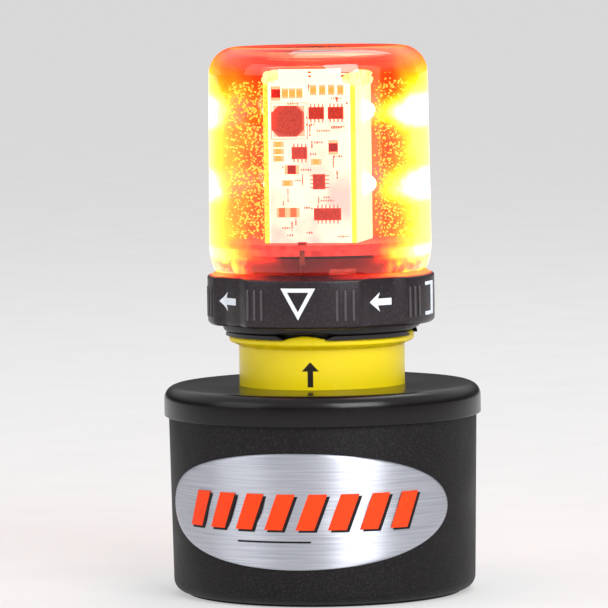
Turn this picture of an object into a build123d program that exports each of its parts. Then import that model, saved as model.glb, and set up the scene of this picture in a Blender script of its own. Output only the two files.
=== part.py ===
"""LED safety flare on a magnetic stand: a red beacon head that turns on a battery carrier, the
carrier in a yellow cup, and the cup in the socket of a round weighted stand.

Millimetres, +Z up, origin on the surface under the centre of the stand. The front is -Y: the badge,
the arrow on the cup and the driver board all face it. The flare's own axis is Z.

Bodies: stand, cup (lifts out of the stand), carrier (pulls out of the cup) and head (turns on the carrier).
"""

from build123d import *
from math import cos, pi, radians, sin
import os

# ---------------------------------------------------------------- stand: tub, lid, foot
FOOT_THICKNESS = 1.6            # rubber ring under the stand
FOOT_PROUD = 0.8                # how far the ring stands below the tub
FOOT_INSET = 4.3                # foot ring in from the tub's edge
FOOT_WIDTH = 10.5
TUB_TOP_RADIUS = 50.4           # outside, at the rim
TUB_DRAFT = 1.1                 # the tub narrows this much to its base, as a moulding does
TUB_RIM_Z = 63.5
TUB_WALL = 3.0
TUB_FLOOR = 3.0
TUB_EDGE_RADIUS = 4.0           # round edge at the base
PILLAR_RADIUS = 5.2             # four screw pillars
PILLAR_WALL_GAP = 0.6           # to the tub's wall at its base
PILLAR_TOP_Z = 45.0
SCREW_SEAT_Z = 32.0             # where a lid screw's head sits in its pillar
LID_SCREW_RADIUS = 2.0
LID_SCREW_LENGTH = 25.0
LID_SCREW_HEAD_RADIUS = 3.4
LID_SCREW_HEAD = 2.6
GASKET_HEIGHT = 1.5             # foam ring between rim and lid
LID_PLATE = 3.0
LID_SKIRT = 9.8                 # the skirt's height over all, plate included
LID_SKIRT_WALL = 1.2
LID_SKIRT_GAP = 0.15            # between the skirt and the tub
LID_EDGE_RADIUS = 2.6
SOCKET_DEPTH = 16.0
SOCKET_WALL = 2.5
SOCKET_FLOOR = 2.5
SOCKET_GAP = 0.15               # around the cup
SOCKET_LEAD_IN = 0.4

# ---------------------------------------------------------------- stand: magnet, ballast, badge
MAGNET_LIFT = 0.4               # the pot magnet stays this far off the surface
POT_FOOT_GAP = 3.5              # pot in from the foot ring
POT_HEIGHT = 8.0
POT_WALL = 1.6
POT_FLOOR = 2.0
POT_GAP = 0.2
RING_MAGNET_BORE = 9.0
BOLT_RADIUS = 3.0
BOLT_HEAD_RADIUS = 5.5
BOLT_HEAD = 3.0
BOLT_HOLE_GAP = 0.2
BOLT_PAST_NUT = 1.6
BALLAST_GAP = 2.3               # to the pillars
BALLAST_HEIGHT = 16.0
WASHER_RADIUS = 9.0
WASHER_THICKNESS = 1.6
NUT_ACROSS_FLATS = 10.0
NUT_HEIGHT = 5.2
CATCH_MAGNET_RADIUS = 9.0       # disc magnet under the socket that holds the cup
CATCH_MAGNET_HEIGHT = 4.0
CATCH_MAGNET_GAP = 0.2
CATCH_RIM = 2.0                 # moulded ring around that magnet
BADGE_HALF_LENGTH = 54.9        # measured round the tub
BADGE_HALF_HEIGHT = 18.7
BADGE_CENTRE_Z = 31.0
BADGE_THICKNESS = 0.8
BADGE_BOND = 0.05               # adhesive film
BADGE_OUTLINE_POINTS = 36

# ---------------------------------------------------------------- cup
CUP_RADIUS = 27.05
CUP_WALL = 2.0
CUP_FLOOR = 2.0
CUP_HEIGHT = 32.3
CUP_EDGE_RADIUS = 0.8
FLANGE_EDGE = 0.6               # flange past its cams
FLANGE_HEIGHT = 3.2
FLANGE_LIP = 1.5                # height of the flange's upright edge
CAM_COUNT = 4                   # cams on the flange that index the carrier in the cup
CAM_HEIGHT = 1.3
CAM_LENGTH = 18.0
CAM_INSET = 0.4                 # cams out from the carrier's shoulder
CAM_WIDTH = 1.0
KEEPER_RADIUS = 12.0            # steel disc that the catch magnet holds
KEEPER_THICKNESS = 1.0

# ---------------------------------------------------------------- battery carrier and cells
CARRIER_GAP = 0.2               # carrier to cup
CARRIER_END_GAP = 0.3           # end cap to the keeper
SHOULDER_STEP = 4.2             # shoulder past the neck
SHOULDER_HEIGHT = 3.0
BAND_REACH = 3.0                # band round the shoulder's foot, notched over the cams
BAND_HEIGHT = 1.3
NOTCH_GAP = 0.4                 # a notch past each end of its cam
NECK_RADIUS = 24.0              # the part that the head turns on
CAP_THICKNESS = 2.0
CELL_RADIUS = 7.25
CELL_LENGTH = 50.5              # over the nub
CELL_EDGE_RADIUS = 0.5
NUB_RADIUS = 2.75
NUB_HEIGHT = 1.2
CELL_GAP = 0.2
CELL_OFFSET = 8.2               # cell axis to the carrier's axis, along X and along Y
SPRING_HEIGHT = 3.4             # as squeezed by its cell
SPRING_RADIUS = 3.2
SPRING_WIRE = 0.4
SPRING_TURNS = 2.5
LINK_THICKNESS = 0.4
LINK_WIDTH = 7.0
CAP_SCREW_RADIUS = 1.2
CAP_SCREW_LENGTH = 9.0
CAP_SCREW_HEAD_RADIUS = 2.2
CAP_SCREW_HEAD = 1.2
SEAL_SECTION = 1.1              # radius of an O-ring's cord
SEAL_GAP = 0.05                 # an O-ring's groove and its bore
CUP_SEAL_DROP = 6.0             # below the shoulder
NECK_SEAL_RISE = 1.9            # above the thrust washer
WASHER_GAP = 0.1
THRUST_WASHER = 0.5
CLIP_THICKNESS = 0.9
CLIP_DEPTH = 1.0
CLIP_REACH = 2.4
CLIP_OPENING = 50.0             # degrees left open for spreading the clip
BOARD_THICKNESS = 1.6
SLIP_BOARD_INSET = 0.6          # in from the neck's edge
TRACK_THICKNESS = 0.2
TRACK_WIDTH = 2.4
INNER_TRACK_RADIUS = 9.0        # middle of the track
OUTER_TRACK_RADIUS = 14.5
TRACK_TO_TOWER = 0.5            # the tracks stay this far under the tower base
BOARD_SCREW_RADIUS = 0.9
BOARD_SCREW_HEAD_RADIUS = 1.7
BOARD_SCREW_LENGTH = 6.0
BOARD_SCREW_INSET = 3.4         # in from the slip board's edge

# ---------------------------------------------------------------- head: control ring
RING_TURN_GAP = 0.3             # head to carrier, along the axis
RING_WALL = 1.8                 # round the lens foot, in the recesses
LOBE_PROUD = 2.6                # the four grip lobes past the recesses
RING_HEIGHT = 15.8              # from its underside to its top edge
LOBE_PITCH = 90.0               # degrees from lobe to lobe
LOBE_HALF_ANGLE = 30.0
RECESS_EDGE_ANGLE = 32.5
LOBE_CORNER_RADIUS = 1.3
RING_BASE_RADIUS = 1.2          # round lower edge
RING_EDGE_CHAMFER = 0.6
SHELF_THICKNESS = 3.0           # inner shelf that the lens stands on
SHELF_BORE_GAP = 0.3            # to the carrier's neck
LENS_SEAT_GAP = 0.1             # lens foot in the ring
CREST_RISE = 1.9                # the ring's top rises this much to the lens
CREST_STEP = 0.8                # height of the flatter outer slope
CREST_LIP = 0.4                 # width of the ring's thin edge round the lens
RIB_ANGLES = (19.5, 23.7, 27.9)
RIB_WIDTH = 1.0
RIB_PROUD = 0.45
RIB_LENGTH = 10.0
MAGNET_RADIUS = 1.5             # switch magnet in the ring
MAGNET_LENGTH = 3.0

# ---------------------------------------------------------------- head: trim collar
COLLAR_WIDTH = 4.1
COLLAR_BORE_GAP = 0.3           # to the carrier's shoulder
COLLAR_CHAMFER = 1.2
CAM_CLEARANCE = 0.2             # collar over the cup's cams
HEAD_SCREW_COUNT = 4
HEAD_SCREW_INSET = 2.4          # in from the lens foot's edge
HEAD_SCREW_RADIUS = 0.8
HEAD_SCREW_HEAD_RADIUS = 1.35
HEAD_SCREW_HEAD = 1.0
HEAD_SCREW_LENGTH = 10.0
SCREW_POCKET_GAP = 0.15

# ---------------------------------------------------------------- head: lens
LENS_GASKET = 1.0
LENS_FOOT_GAP = 2.2             # round the retaining clip
LENS_FOOT_WALL = 4.4
LENS_HEADROOM = 4.4             # over the tongue of the driver board
LENS_WALL = 3.5
LENS_TOP_WALL = 3.0
LENS_BULGE = 3.2                # widest, just above the ring, this far past the foot
BULGE_RISE = 0.7                # widest this far above the inner ledge
LENS_NECK_RISE = 0.7            # the foot starts to swell this far above the ring's edge
LENS_TAPER = 0.7                # narrower than the bulge where the top corner starts
LENS_CORNER_RADIUS = 9.0

# ---------------------------------------------------------------- head: light tower
TOWER_BASE_GAP = 0.3
TOWER_WIDTH = 29.6              # over the two side boards
TOWER_DEPTH = 33.0
TOWER_HEIGHT = 52.5
TOWER_SLOT_GAP = 0.1            # front and rear boards between the side boards
TONGUE_WIDTH = 20.0             # tongue on the driver board's top edge
TONGUE_HEIGHT = 3.2
TONGUE_HOLE_RADIUS = 0.8
FRONT_BOARD_INSET = 0.4
LOWER_ROW_RISE = 18.4           # lower emitters above the tower base
UPPER_ROW_DROP = 10.3           # upper emitters below the boards' top
LED_SIZE = 6.5
LED_BASE = 1.2
LED_DOME_RADIUS = 2.7
BRACKET_LEG = 4.0
BRACKET_WIDTH = 8.0
BRACKET_THICKNESS = 1.0
TOWER_SCREW_RADIUS = 0.8
TOWER_SCREW_HEAD_RADIUS = 1.4
TOWER_SCREW_HEAD = 1.0
TOWER_SCREW_LENGTH = 6.0
TOWER_SCREW_COUNT = 3
TOWER_SCREW_START = 30.0        # degrees round from the right
BRUSH_WIDTH = 1.6
BRUSH_LIFT = 0.05               # brush tip to its track
SCREW_GAP = 0.05                # round every screw's shank

# ---------------------------------------------------------------- driver board components
# each is (x, height above the tower base, width along x, height along z)
INDUCTOR_SIZE = 10.0
INDUCTOR_HEIGHT = 4.0
INDUCTOR_PLACE = (-6.5, 39.4)
SO8_BODY = (4.9, 3.9)
SO8_PLACES = ((2.4, 41.9, 0), (8.6, 41.9, 0), (-3.2, 29.1, 0), (3.0, 19.8, 90))
SO14_BODY = (8.65, 3.9)
SO14_PLACE = (5.6, 9.3, 0)
CHIP_HEIGHT = 1.5
CHIP_STANDOFF = 0.1
LEG_PITCH = 1.27
LEG_WIDTH = 0.45
LEG_REACH = 1.05
LEG_THICKNESS = 0.2
CAPACITOR_SIZE = (3.2, 1.8, 1.5)
CAPACITOR_PLACES = (
    (-9.9, 31.9, 0), (-9.9, 29.6, 0), (-9.9, 27.3, 0),
    (-7.2, 19.4, 0), (2.2, 26.2, 0),
    (-7.6, 48.3, 90), (-5.3, 48.3, 90), (-3.0, 48.3, 90),
    (1.5, 49.3, 90), (4.4, 49.3, 90), (7.3, 49.3, 90), (10.2, 49.3, 90),
)
TANTALUM_SIZE = (3.4, 3.0, 1.9)
TANTALUM_PLACES = ((-8.9, 9.9, 0), (-5.2, 9.9, 0))
RESISTOR_SIZE = (4.6, 2.9, 0.7)
RESISTOR_PLACES = ((-5.8, 23.7, 0), (7.6, 30.8, 90), (-10.7, 48.3, 90))

# ---------------------------------------------------------------- levels and radii that follow
TUB_BASE_Z = FOOT_PROUD
TUB_BASE_RADIUS = TUB_TOP_RADIUS - TUB_DRAFT
FOOT_OUTER_RADIUS = TUB_BASE_RADIUS - FOOT_INSET
FOOT_INNER_RADIUS = FOOT_OUTER_RADIUS - FOOT_WIDTH
PILLAR_CIRCLE = TUB_BASE_RADIUS - TUB_WALL - PILLAR_WALL_GAP - PILLAR_RADIUS
BALLAST_RADIUS = PILLAR_CIRCLE - PILLAR_RADIUS - BALLAST_GAP
POT_RADIUS = FOOT_INNER_RADIUS - POT_FOOT_GAP
SHELL_FLOOR_TOP = TUB_BASE_Z + TUB_FLOOR
MAGNET_ROOF_Z = MAGNET_LIFT + POT_HEIGHT
RAISED_FLOOR_TOP = MAGNET_ROOF_Z + TUB_FLOOR
LID_UNDER_Z = TUB_RIM_Z + GASKET_HEIGHT
LID_TOP_Z = LID_UNDER_Z + LID_PLATE
SKIRT_INNER_RADIUS = TUB_TOP_RADIUS + LID_SKIRT_GAP
LID_RADIUS = SKIRT_INNER_RADIUS + LID_SKIRT_WALL
SHOULDER_RADIUS = NECK_RADIUS + SHOULDER_STEP
BAND_RADIUS = SHOULDER_RADIUS + BAND_REACH
CAM_INNER_RADIUS = SHOULDER_RADIUS + CAM_INSET
CAM_OUTER_RADIUS = CAM_INNER_RADIUS + CAM_WIDTH
FLANGE_RADIUS = CAM_OUTER_RADIUS + FLANGE_EDGE
SOCKET_RADIUS = CUP_RADIUS + SOCKET_GAP
SOCKET_OUTER_RADIUS = SOCKET_RADIUS + SOCKET_WALL
CUP_BASE_Z = LID_TOP_Z - SOCKET_DEPTH
SOCKET_UNDER_Z = CUP_BASE_Z - SOCKET_FLOOR
CUP_TOP_Z = CUP_BASE_Z + CUP_HEIGHT
CUP_FLOOR_TOP = CUP_BASE_Z + CUP_FLOOR
CUP_BORE = CUP_RADIUS - CUP_WALL
CARRIER_RADIUS = CUP_BORE - CARRIER_GAP
CAP_BASE_Z = CUP_FLOOR_TOP + KEEPER_THICKNESS + CARRIER_END_GAP
CARRIER_BASE_Z = CAP_BASE_Z + CAP_THICKNESS
SHOULDER_TOP_Z = CUP_TOP_Z + SHOULDER_HEIGHT
CELL_BORE = CELL_RADIUS + CELL_GAP
CARRIER_TOP_Z = CARRIER_BASE_Z + CELL_LENGTH + SPRING_HEIGHT
THRUST_TOP_Z = SHOULDER_TOP_Z + THRUST_WASHER
RING_BASE_Z = THRUST_TOP_Z + RING_TURN_GAP
SHELF_TOP_Z = RING_BASE_Z + SHELF_THICKNESS
SHELF_BORE = NECK_RADIUS + SHELF_BORE_GAP
RING_EDGE_Z = RING_BASE_Z + RING_HEIGHT
LENS_BASE_Z = SHELF_TOP_Z + LENS_GASKET
LENS_FOOT_BORE = NECK_RADIUS + CLIP_REACH + LENS_FOOT_GAP
LENS_FOOT_RADIUS = LENS_FOOT_BORE + LENS_FOOT_WALL
HEAD_SCREW_CIRCLE = LENS_FOOT_RADIUS - HEAD_SCREW_INSET
LENS_BULGE_RADIUS = LENS_FOOT_RADIUS + LENS_BULGE
LENS_UPPER_RADIUS = LENS_BULGE_RADIUS - LENS_TAPER
RECESS_RADIUS = LENS_FOOT_RADIUS + LENS_SEAT_GAP + RING_WALL
RING_RADIUS = RECESS_RADIUS + LOBE_PROUD
CREST_RADIUS = RECESS_RADIUS
COLLAR_BORE = SHOULDER_RADIUS + COLLAR_BORE_GAP
COLLAR_RADIUS = COLLAR_BORE + COLLAR_WIDTH
COLLAR_BASE_Z = CUP_TOP_Z + CAM_HEIGHT + CAM_CLEARANCE
SLIP_BOARD_RADIUS = NECK_RADIUS - SLIP_BOARD_INSET
BOARD_SCREW_OFFSET = SLIP_BOARD_RADIUS - BOARD_SCREW_INSET
SLIP_TOP_Z = CARRIER_TOP_Z + BOARD_THICKNESS
TRACK_TOP_Z = SLIP_TOP_Z + TRACK_THICKNESS
LEDGE_Z = TRACK_TOP_Z + TRACK_TO_TOWER          # inner ledge of the lens, under the tower base
TOWER_BASE_Z = LEDGE_Z + BOARD_THICKNESS
TOWER_TOP_Z = TOWER_BASE_Z + TOWER_HEIGHT
LED_ROW_HEIGHTS = (LOWER_ROW_RISE, TOWER_HEIGHT - UPPER_ROW_DROP)
LENS_NECK_Z = RING_EDGE_Z + LENS_NECK_RISE
LENS_BULGE_Z = LEDGE_Z + BULGE_RISE
LENS_TOP_Z = TOWER_TOP_Z + TONGUE_HEIGHT + LENS_HEADROOM + LENS_TOP_WALL
FRONT_BOARD_WIDTH = TOWER_WIDTH - 2 * BOARD_THICKNESS - 2 * TOWER_SLOT_GAP
FRONT_FACE_Y = -TOWER_DEPTH / 2 + FRONT_BOARD_INSET
REAR_FACE_Y = -FRONT_FACE_Y


# ---------------------------------------------------------------- shape helpers
def disc(radius, low, high, x=0.0, y=0.0):
    """An upright cylinder from one level to another."""
    return Pos(x, y, (low + high) / 2) * Cylinder(radius, high - low)


def ring(outer, inner, low, high):
    return disc(outer, low, high) - disc(inner, low - 1, high + 1)


def turned(*points):
    """A solid of revolution about Z from (radius, z) corners."""
    return revolve(Plane.XZ * Polygon(*points, align=None), Axis.Z)


def turned_lines(lines):
    """A solid of revolution about Z from lines and arcs that close a (radius, z) outline."""
    return revolve(Plane.XZ * make_face(lines), Axis.Z)


def around(count, radius, start=0.0):
    """(x, y, angle) of evenly spaced places on a circle."""
    for i in range(count):
        angle = start + i * 360 / count
        yield radius * cos(radians(angle)), radius * sin(radians(angle)), angle


def screw(shank_radius, length, head_radius, head_height):
    """Head up, seat at Z 0, shank below it, with a crossed driver recess."""
    body = disc(shank_radius, -length, 0) + disc(head_radius, 0, head_height)
    slot = head_radius * 0.3
    for turn in (0, 90):
        body -= Rot(0, 0, turn) * Pos(0, 0, head_height) * Box(head_radius * 1.2, slot, head_height)
    return body


def o_ring(centre_radius, section, z):
    return Pos(0, 0, z) * Torus(centre_radius, section)


def save(node, shape):
    """Writes one sub-part; a list is a group of separate solids."""
    if isinstance(shape, list):
        shape = Compound(children=[s.solid() for s in shape])
    export_step(shape, os.path.join("parts", node + ".step"))


# ---------------------------------------------------------------- stand
def pillar_places():
    return around(4, PILLAR_CIRCLE, 45)


def tub():
    taper = (TUB_TOP_RADIUS - TUB_BASE_RADIUS) / (TUB_RIM_Z - TUB_BASE_Z)
    inner_base = TUB_BASE_RADIUS + taper * TUB_FLOOR - TUB_WALL
    shell = turned(
        (0, TUB_BASE_Z), (TUB_BASE_RADIUS, TUB_BASE_Z), (TUB_TOP_RADIUS, TUB_RIM_Z), (0, TUB_RIM_Z)
    )
    shell = fillet(shell.edges().group_by(Axis.Z)[0], TUB_EDGE_RADIUS)
    shell -= turned(
        (0, SHELL_FLOOR_TOP),
        (inner_base, SHELL_FLOOR_TOP),
        (TUB_TOP_RADIUS - TUB_WALL, TUB_RIM_Z + 1),
        (0, TUB_RIM_Z + 1),
    )
    recess = POT_RADIUS + POT_GAP
    shell += disc(recess + TUB_WALL, TUB_BASE_Z, RAISED_FLOOR_TOP)
    shell -= disc(recess, 0, MAGNET_ROOF_Z)
    shell -= disc(BOLT_RADIUS + BOLT_HOLE_GAP, 0, TUB_RIM_Z)
    inside = disc(inner_base + TUB_WALL / 2, SHELL_FLOOR_TOP - TUB_FLOOR / 2, TUB_RIM_Z)
    for x, y, _ in pillar_places():
        shell += disc(PILLAR_RADIUS, SHELL_FLOOR_TOP - TUB_FLOOR / 2, PILLAR_TOP_Z, x, y) & inside
        shell -= disc(LID_SCREW_HEAD_RADIUS + SCREW_POCKET_GAP, 0, SCREW_SEAT_Z, x, y)
        shell -= disc(LID_SCREW_RADIUS + SCREW_GAP, 0, PILLAR_TOP_Z + 1, x, y)
    groove_top = FOOT_THICKNESS
    shell -= ring(FOOT_OUTER_RADIUS, FOOT_INNER_RADIUS, -1, groove_top)
    return shell


def foot_ring():
    foot = ring(FOOT_OUTER_RADIUS, FOOT_INNER_RADIUS, 0, FOOT_THICKNESS)
    return chamfer(foot.edges().group_by(Axis.Z)[0], FOOT_PROUD / 4)


def lid():
    skirt_base = LID_TOP_Z - LID_SKIRT
    cap = disc(LID_RADIUS, skirt_base, LID_TOP_Z)
    cap = fillet(cap.edges().group_by(Axis.Z)[-1], LID_EDGE_RADIUS)
    cap -= disc(SKIRT_INNER_RADIUS, skirt_base - 1, LID_UNDER_Z)
    cap += disc(SOCKET_OUTER_RADIUS, SOCKET_UNDER_Z, LID_UNDER_Z)
    cap -= disc(SOCKET_RADIUS, CUP_BASE_Z, LID_TOP_Z + 1)
    lead_in = SOCKET_RADIUS + SOCKET_LEAD_IN
    cap -= turned(
        (0, LID_TOP_Z - SOCKET_LEAD_IN), (SOCKET_RADIUS, LID_TOP_Z - SOCKET_LEAD_IN),
        (lead_in, LID_TOP_Z), (0, LID_TOP_Z),
    )
    catch_base = SOCKET_UNDER_Z - CATCH_MAGNET_HEIGHT
    cap += ring(CATCH_MAGNET_RADIUS + CATCH_RIM, CATCH_MAGNET_RADIUS, catch_base, SOCKET_UNDER_Z)
    screw_tip = SCREW_SEAT_Z + LID_SCREW_LENGTH
    for x, y, _ in pillar_places():
        cap += disc(PILLAR_RADIUS, PILLAR_TOP_Z, LID_UNDER_Z, x, y)
        cap -= disc(LID_SCREW_RADIUS + SCREW_GAP, PILLAR_TOP_Z - 1, screw_tip + SCREW_GAP, x, y)
    return cap


def lid_gasket():
    return ring(TUB_TOP_RADIUS - LID_SKIRT_GAP, TUB_TOP_RADIUS - TUB_WALL, TUB_RIM_Z, LID_UNDER_Z)


def lid_screws():
    one = Rot(180, 0, 0) * screw(LID_SCREW_RADIUS, LID_SCREW_LENGTH, LID_SCREW_HEAD_RADIUS, LID_SCREW_HEAD)
    return [Pos(x, y, SCREW_SEAT_Z) * one for x, y, _ in pillar_places()]


def magnet_pot():
    top = MAGNET_LIFT + POT_HEIGHT
    pot = disc(POT_RADIUS, MAGNET_LIFT, top)
    pot -= disc(POT_RADIUS - POT_WALL, 0, top - POT_FLOOR)
    return pot - disc(BOLT_RADIUS + BOLT_HOLE_GAP, 0, top + 1)


def ring_magnet():
    seat = MAGNET_LIFT + POT_HEIGHT - POT_FLOOR
    return ring(POT_RADIUS - POT_WALL - POT_GAP, RING_MAGNET_BORE, MAGNET_LIFT + POT_GAP, seat)


def nut_seat_z():
    return RAISED_FLOOR_TOP + BALLAST_HEIGHT + WASHER_THICKNESS


def magnet_bolt():
    seat = MAGNET_LIFT + POT_HEIGHT - POT_FLOOR
    length = nut_seat_z() + NUT_HEIGHT + BOLT_PAST_NUT - seat
    return Pos(0, 0, seat) * Rot(180, 0, 0) * screw(BOLT_RADIUS, length, BOLT_HEAD_RADIUS, BOLT_HEAD)


def ballast():
    top = RAISED_FLOOR_TOP + BALLAST_HEIGHT
    weight = ring(BALLAST_RADIUS, BOLT_RADIUS + BOLT_HOLE_GAP, RAISED_FLOOR_TOP, top)
    return chamfer(weight.faces().sort_by(Axis.Z)[-1].outer_wire().edges(), 1.0)


def bolt_washer():
    base = RAISED_FLOOR_TOP + BALLAST_HEIGHT
    return ring(WASHER_RADIUS, BOLT_RADIUS + BOLT_HOLE_GAP, base, base + WASHER_THICKNESS)


def bolt_nut():
    flats = RegularPolygon(NUT_ACROSS_FLATS / 2, 6, major_radius=False)
    nut = Pos(0, 0, nut_seat_z()) * extrude(flats, NUT_HEIGHT)
    return nut - disc(BOLT_RADIUS + SCREW_GAP, nut_seat_z() - 1, nut_seat_z() + NUT_HEIGHT + 1)


def catch_magnet():
    """The disc magnet pressed into the moulded ring under the socket."""
    low = SOCKET_UNDER_Z - CATCH_MAGNET_HEIGHT
    return disc(CATCH_MAGNET_RADIUS - CATCH_MAGNET_GAP, low, SOCKET_UNDER_Z)


def badge():
    """An oval plate bent round the tub: the oval is drawn on the unrolled wall and seen from the front."""
    def wall(offset):
        low, high = TUB_BASE_Z, TUB_RIM_Z
        return turned((0, low), (TUB_BASE_RADIUS + offset, low), (TUB_TOP_RADIUS + offset, high), (0, high))

    mean_radius = (TUB_BASE_RADIUS + TUB_TOP_RADIUS) / 2
    outline = []
    for i in range(BADGE_OUTLINE_POINTS):
        t = 2 * pi * i / BADGE_OUTLINE_POINTS
        bend = BADGE_HALF_LENGTH * cos(t) / mean_radius
        outline.append((mean_radius * sin(bend), BADGE_CENTRE_Z + BADGE_HALF_HEIGHT * sin(t)))
    oval = make_face(Spline(*outline, periodic=True))
    cutter = extrude(Plane.XZ * oval, TUB_TOP_RADIUS + 2 * BADGE_THICKNESS)
    return (wall(BADGE_BOND + BADGE_THICKNESS) - wall(BADGE_BOND)) & cutter


# ---------------------------------------------------------------- cup
def cup():
    """A plain cup with a rounded flange and four low cams on its top that index the head."""
    lip = CUP_TOP_Z - FLANGE_LIP
    body = turned(
        (0, CUP_BASE_Z), (CUP_RADIUS, CUP_BASE_Z), (CUP_RADIUS, CUP_TOP_Z - FLANGE_HEIGHT),
        (FLANGE_RADIUS, lip), (FLANGE_RADIUS, CUP_TOP_Z), (0, CUP_TOP_Z),
    )
    circles = body.edges().filter_by(GeomType.CIRCLE)
    lip_edges = [e for e in circles if e.radius > FLANGE_RADIUS - 0.01]
    cup_edges = [e for e in circles if abs(e.radius - CUP_RADIUS) < 0.01]
    body = fillet(lip_edges, FLANGE_LIP * 0.45)
    body = fillet(matching(body, cup_edges), CUP_EDGE_RADIUS)
    for _, _, angle in around(CAM_COUNT, CAM_INNER_RADIUS):
        body += cam(angle)
    return body - disc(CUP_BORE, CUP_FLOOR_TOP, CUP_TOP_Z + CAM_HEIGHT + 1)


def matching(shape, edges):
    """The same circles in a shape that has been changed elsewhere."""
    wanted = [(round(e.radius, 3), round(e.center().Z, 3)) for e in edges]
    circles = shape.edges().filter_by(GeomType.CIRCLE)
    return [e for e in circles if (round(e.radius, 3), round(e.center().Z, 3)) in wanted]


def cam(angle):
    """A low hump on the flange, centred at that angle."""
    half = CAM_LENGTH / 2
    hump = make_face(ThreePointArc((-half, 0), (0, CAM_HEIGHT), (half, 0)) + Line((half, 0), (-half, 0)))
    face = Plane((0, 0, CUP_TOP_Z), x_dir=(0, 1, 0), z_dir=(1, 0, 0))
    track = ring(CAM_OUTER_RADIUS, CAM_INNER_RADIUS, CUP_TOP_Z - 1, CUP_TOP_Z + CAM_HEIGHT + 1)
    return Rot(0, 0, angle) * (extrude(face * hump, BAND_RADIUS) & track)


def cup_keeper():
    return disc(KEEPER_RADIUS, CUP_FLOOR_TOP, CUP_FLOOR_TOP + KEEPER_THICKNESS)


# ---------------------------------------------------------------- battery carrier
def cell_places():
    """(x, y, True where the nub is up) for each cell, going round."""
    for i, (x, y, _) in enumerate(around(4, CELL_OFFSET * 2 ** 0.5, 45)):
        yield x, y, i % 2 == 0


def seal_levels():
    return CUP_TOP_Z - CUP_SEAL_DROP, THRUST_TOP_Z + NECK_SEAL_RISE


def clip_z():
    return SHELF_TOP_Z + RING_TURN_GAP


def battery_carrier():
    body = disc(CARRIER_RADIUS, CARRIER_BASE_Z, CUP_TOP_Z + 0.5)
    body += disc(SHOULDER_RADIUS, CUP_TOP_Z, SHOULDER_TOP_Z)
    body += shoulder_band()
    body += disc(NECK_RADIUS, SHOULDER_TOP_Z - 0.5, CARRIER_TOP_Z)
    for x, y, _ in cell_places():
        body -= disc(CELL_BORE, CARRIER_BASE_Z - 1, CARRIER_TOP_Z + 1, x, y)
    low, high = seal_levels()
    groove = SEAL_SECTION + SEAL_GAP
    for z, radius in ((low, CARRIER_RADIUS), (high, NECK_RADIUS)):
        body -= ring(radius + 1, radius - 2 * SEAL_SECTION, z - groove, z + groove)
    body -= ring(NECK_RADIUS + 1, NECK_RADIUS - CLIP_DEPTH, clip_z() - WASHER_GAP / 2,
                 clip_z() + CLIP_THICKNESS + WASHER_GAP / 2)
    body -= disc(CAP_SCREW_RADIUS + SCREW_GAP, CARRIER_BASE_Z - 1, CARRIER_BASE_Z + CAP_SCREW_LENGTH)
    for side in (-1, 1):
        body -= disc(BOARD_SCREW_RADIUS + SCREW_GAP, CARRIER_TOP_Z - BOARD_SCREW_LENGTH, CARRIER_TOP_Z + 1,
                     side * BOARD_SCREW_OFFSET)
    return body


def shoulder_band():
    """The band that stands on the flange between the cams and keeps the carrier from turning."""
    band = ring(BAND_RADIUS, SHOULDER_RADIUS - 1, CUP_TOP_Z, CUP_TOP_Z + BAND_HEIGHT)
    notch = Box(BAND_RADIUS, CAM_LENGTH + 2 * NOTCH_GAP, 4 * BAND_HEIGHT)
    for _, _, angle in around(CAM_COUNT, CAM_INNER_RADIUS):
        band -= Rot(0, 0, angle) * Pos(BAND_RADIUS, 0, CUP_TOP_Z) * notch
    return band


def cell(nub_up):
    """One cell between Z 0 and its full length."""
    can_top = CELL_LENGTH - NUB_HEIGHT
    can = fillet(disc(CELL_RADIUS, 0, can_top).edges().filter_by(GeomType.CIRCLE), CELL_EDGE_RADIUS)
    can += disc(NUB_RADIUS, can_top - CELL_EDGE_RADIUS, CELL_LENGTH)
    return can if nub_up else Pos(0, 0, CELL_LENGTH) * Rot(180, 0, 0) * can


def placed_cells():
    for x, y, nub_up in cell_places():
        low = CARRIER_BASE_Z + (SPRING_HEIGHT if nub_up else 0)
        yield Pos(x, y, low) * cell(nub_up)


def cell_springs():
    """A short coil under each cell that stands nub up, and over each that stands nub down."""
    springs = []
    for x, y, nub_up in cell_places():
        low = CARRIER_BASE_Z if nub_up else CARRIER_TOP_Z - SPRING_HEIGHT
        rise = SPRING_HEIGHT - 2 * SPRING_WIRE
        path = Helix(rise / SPRING_TURNS, rise, SPRING_RADIUS)
        section = Plane(path @ 0, z_dir=path % 0) * Circle(SPRING_WIRE)
        springs.append(Pos(x, y, low + SPRING_WIRE) * sweep(section, path, is_frenet=True))
    return springs


def end_cap():
    cap = disc(CARRIER_RADIUS, CAP_BASE_Z, CARRIER_BASE_Z)
    cap = chamfer(cap.edges().group_by(Axis.Z)[0], 0.5)
    for link in cell_links():
        cap -= link
    cap -= disc(CAP_SCREW_HEAD_RADIUS + SCREW_POCKET_GAP, CAP_BASE_Z - 1, CAP_BASE_Z + CAP_SCREW_HEAD)
    return cap - disc(CAP_SCREW_RADIUS + SCREW_GAP, CAP_BASE_Z - 1, CARRIER_BASE_Z + 1)


def cell_links():
    """Two nickel strips set into the cap, each joining two neighbouring cells."""
    top = CARRIER_BASE_Z
    strip = Box(2 * (CELL_OFFSET + SPRING_RADIUS), LINK_WIDTH, LINK_THICKNESS)
    return [Pos(0, side * CELL_OFFSET, top - LINK_THICKNESS / 2) * strip for side in (-1, 1)]


def cap_screw():
    one = screw(CAP_SCREW_RADIUS, CAP_SCREW_LENGTH, CAP_SCREW_HEAD_RADIUS, CAP_SCREW_HEAD)
    return Pos(0, 0, CAP_BASE_Z + CAP_SCREW_HEAD) * Rot(180, 0, 0) * one


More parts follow.
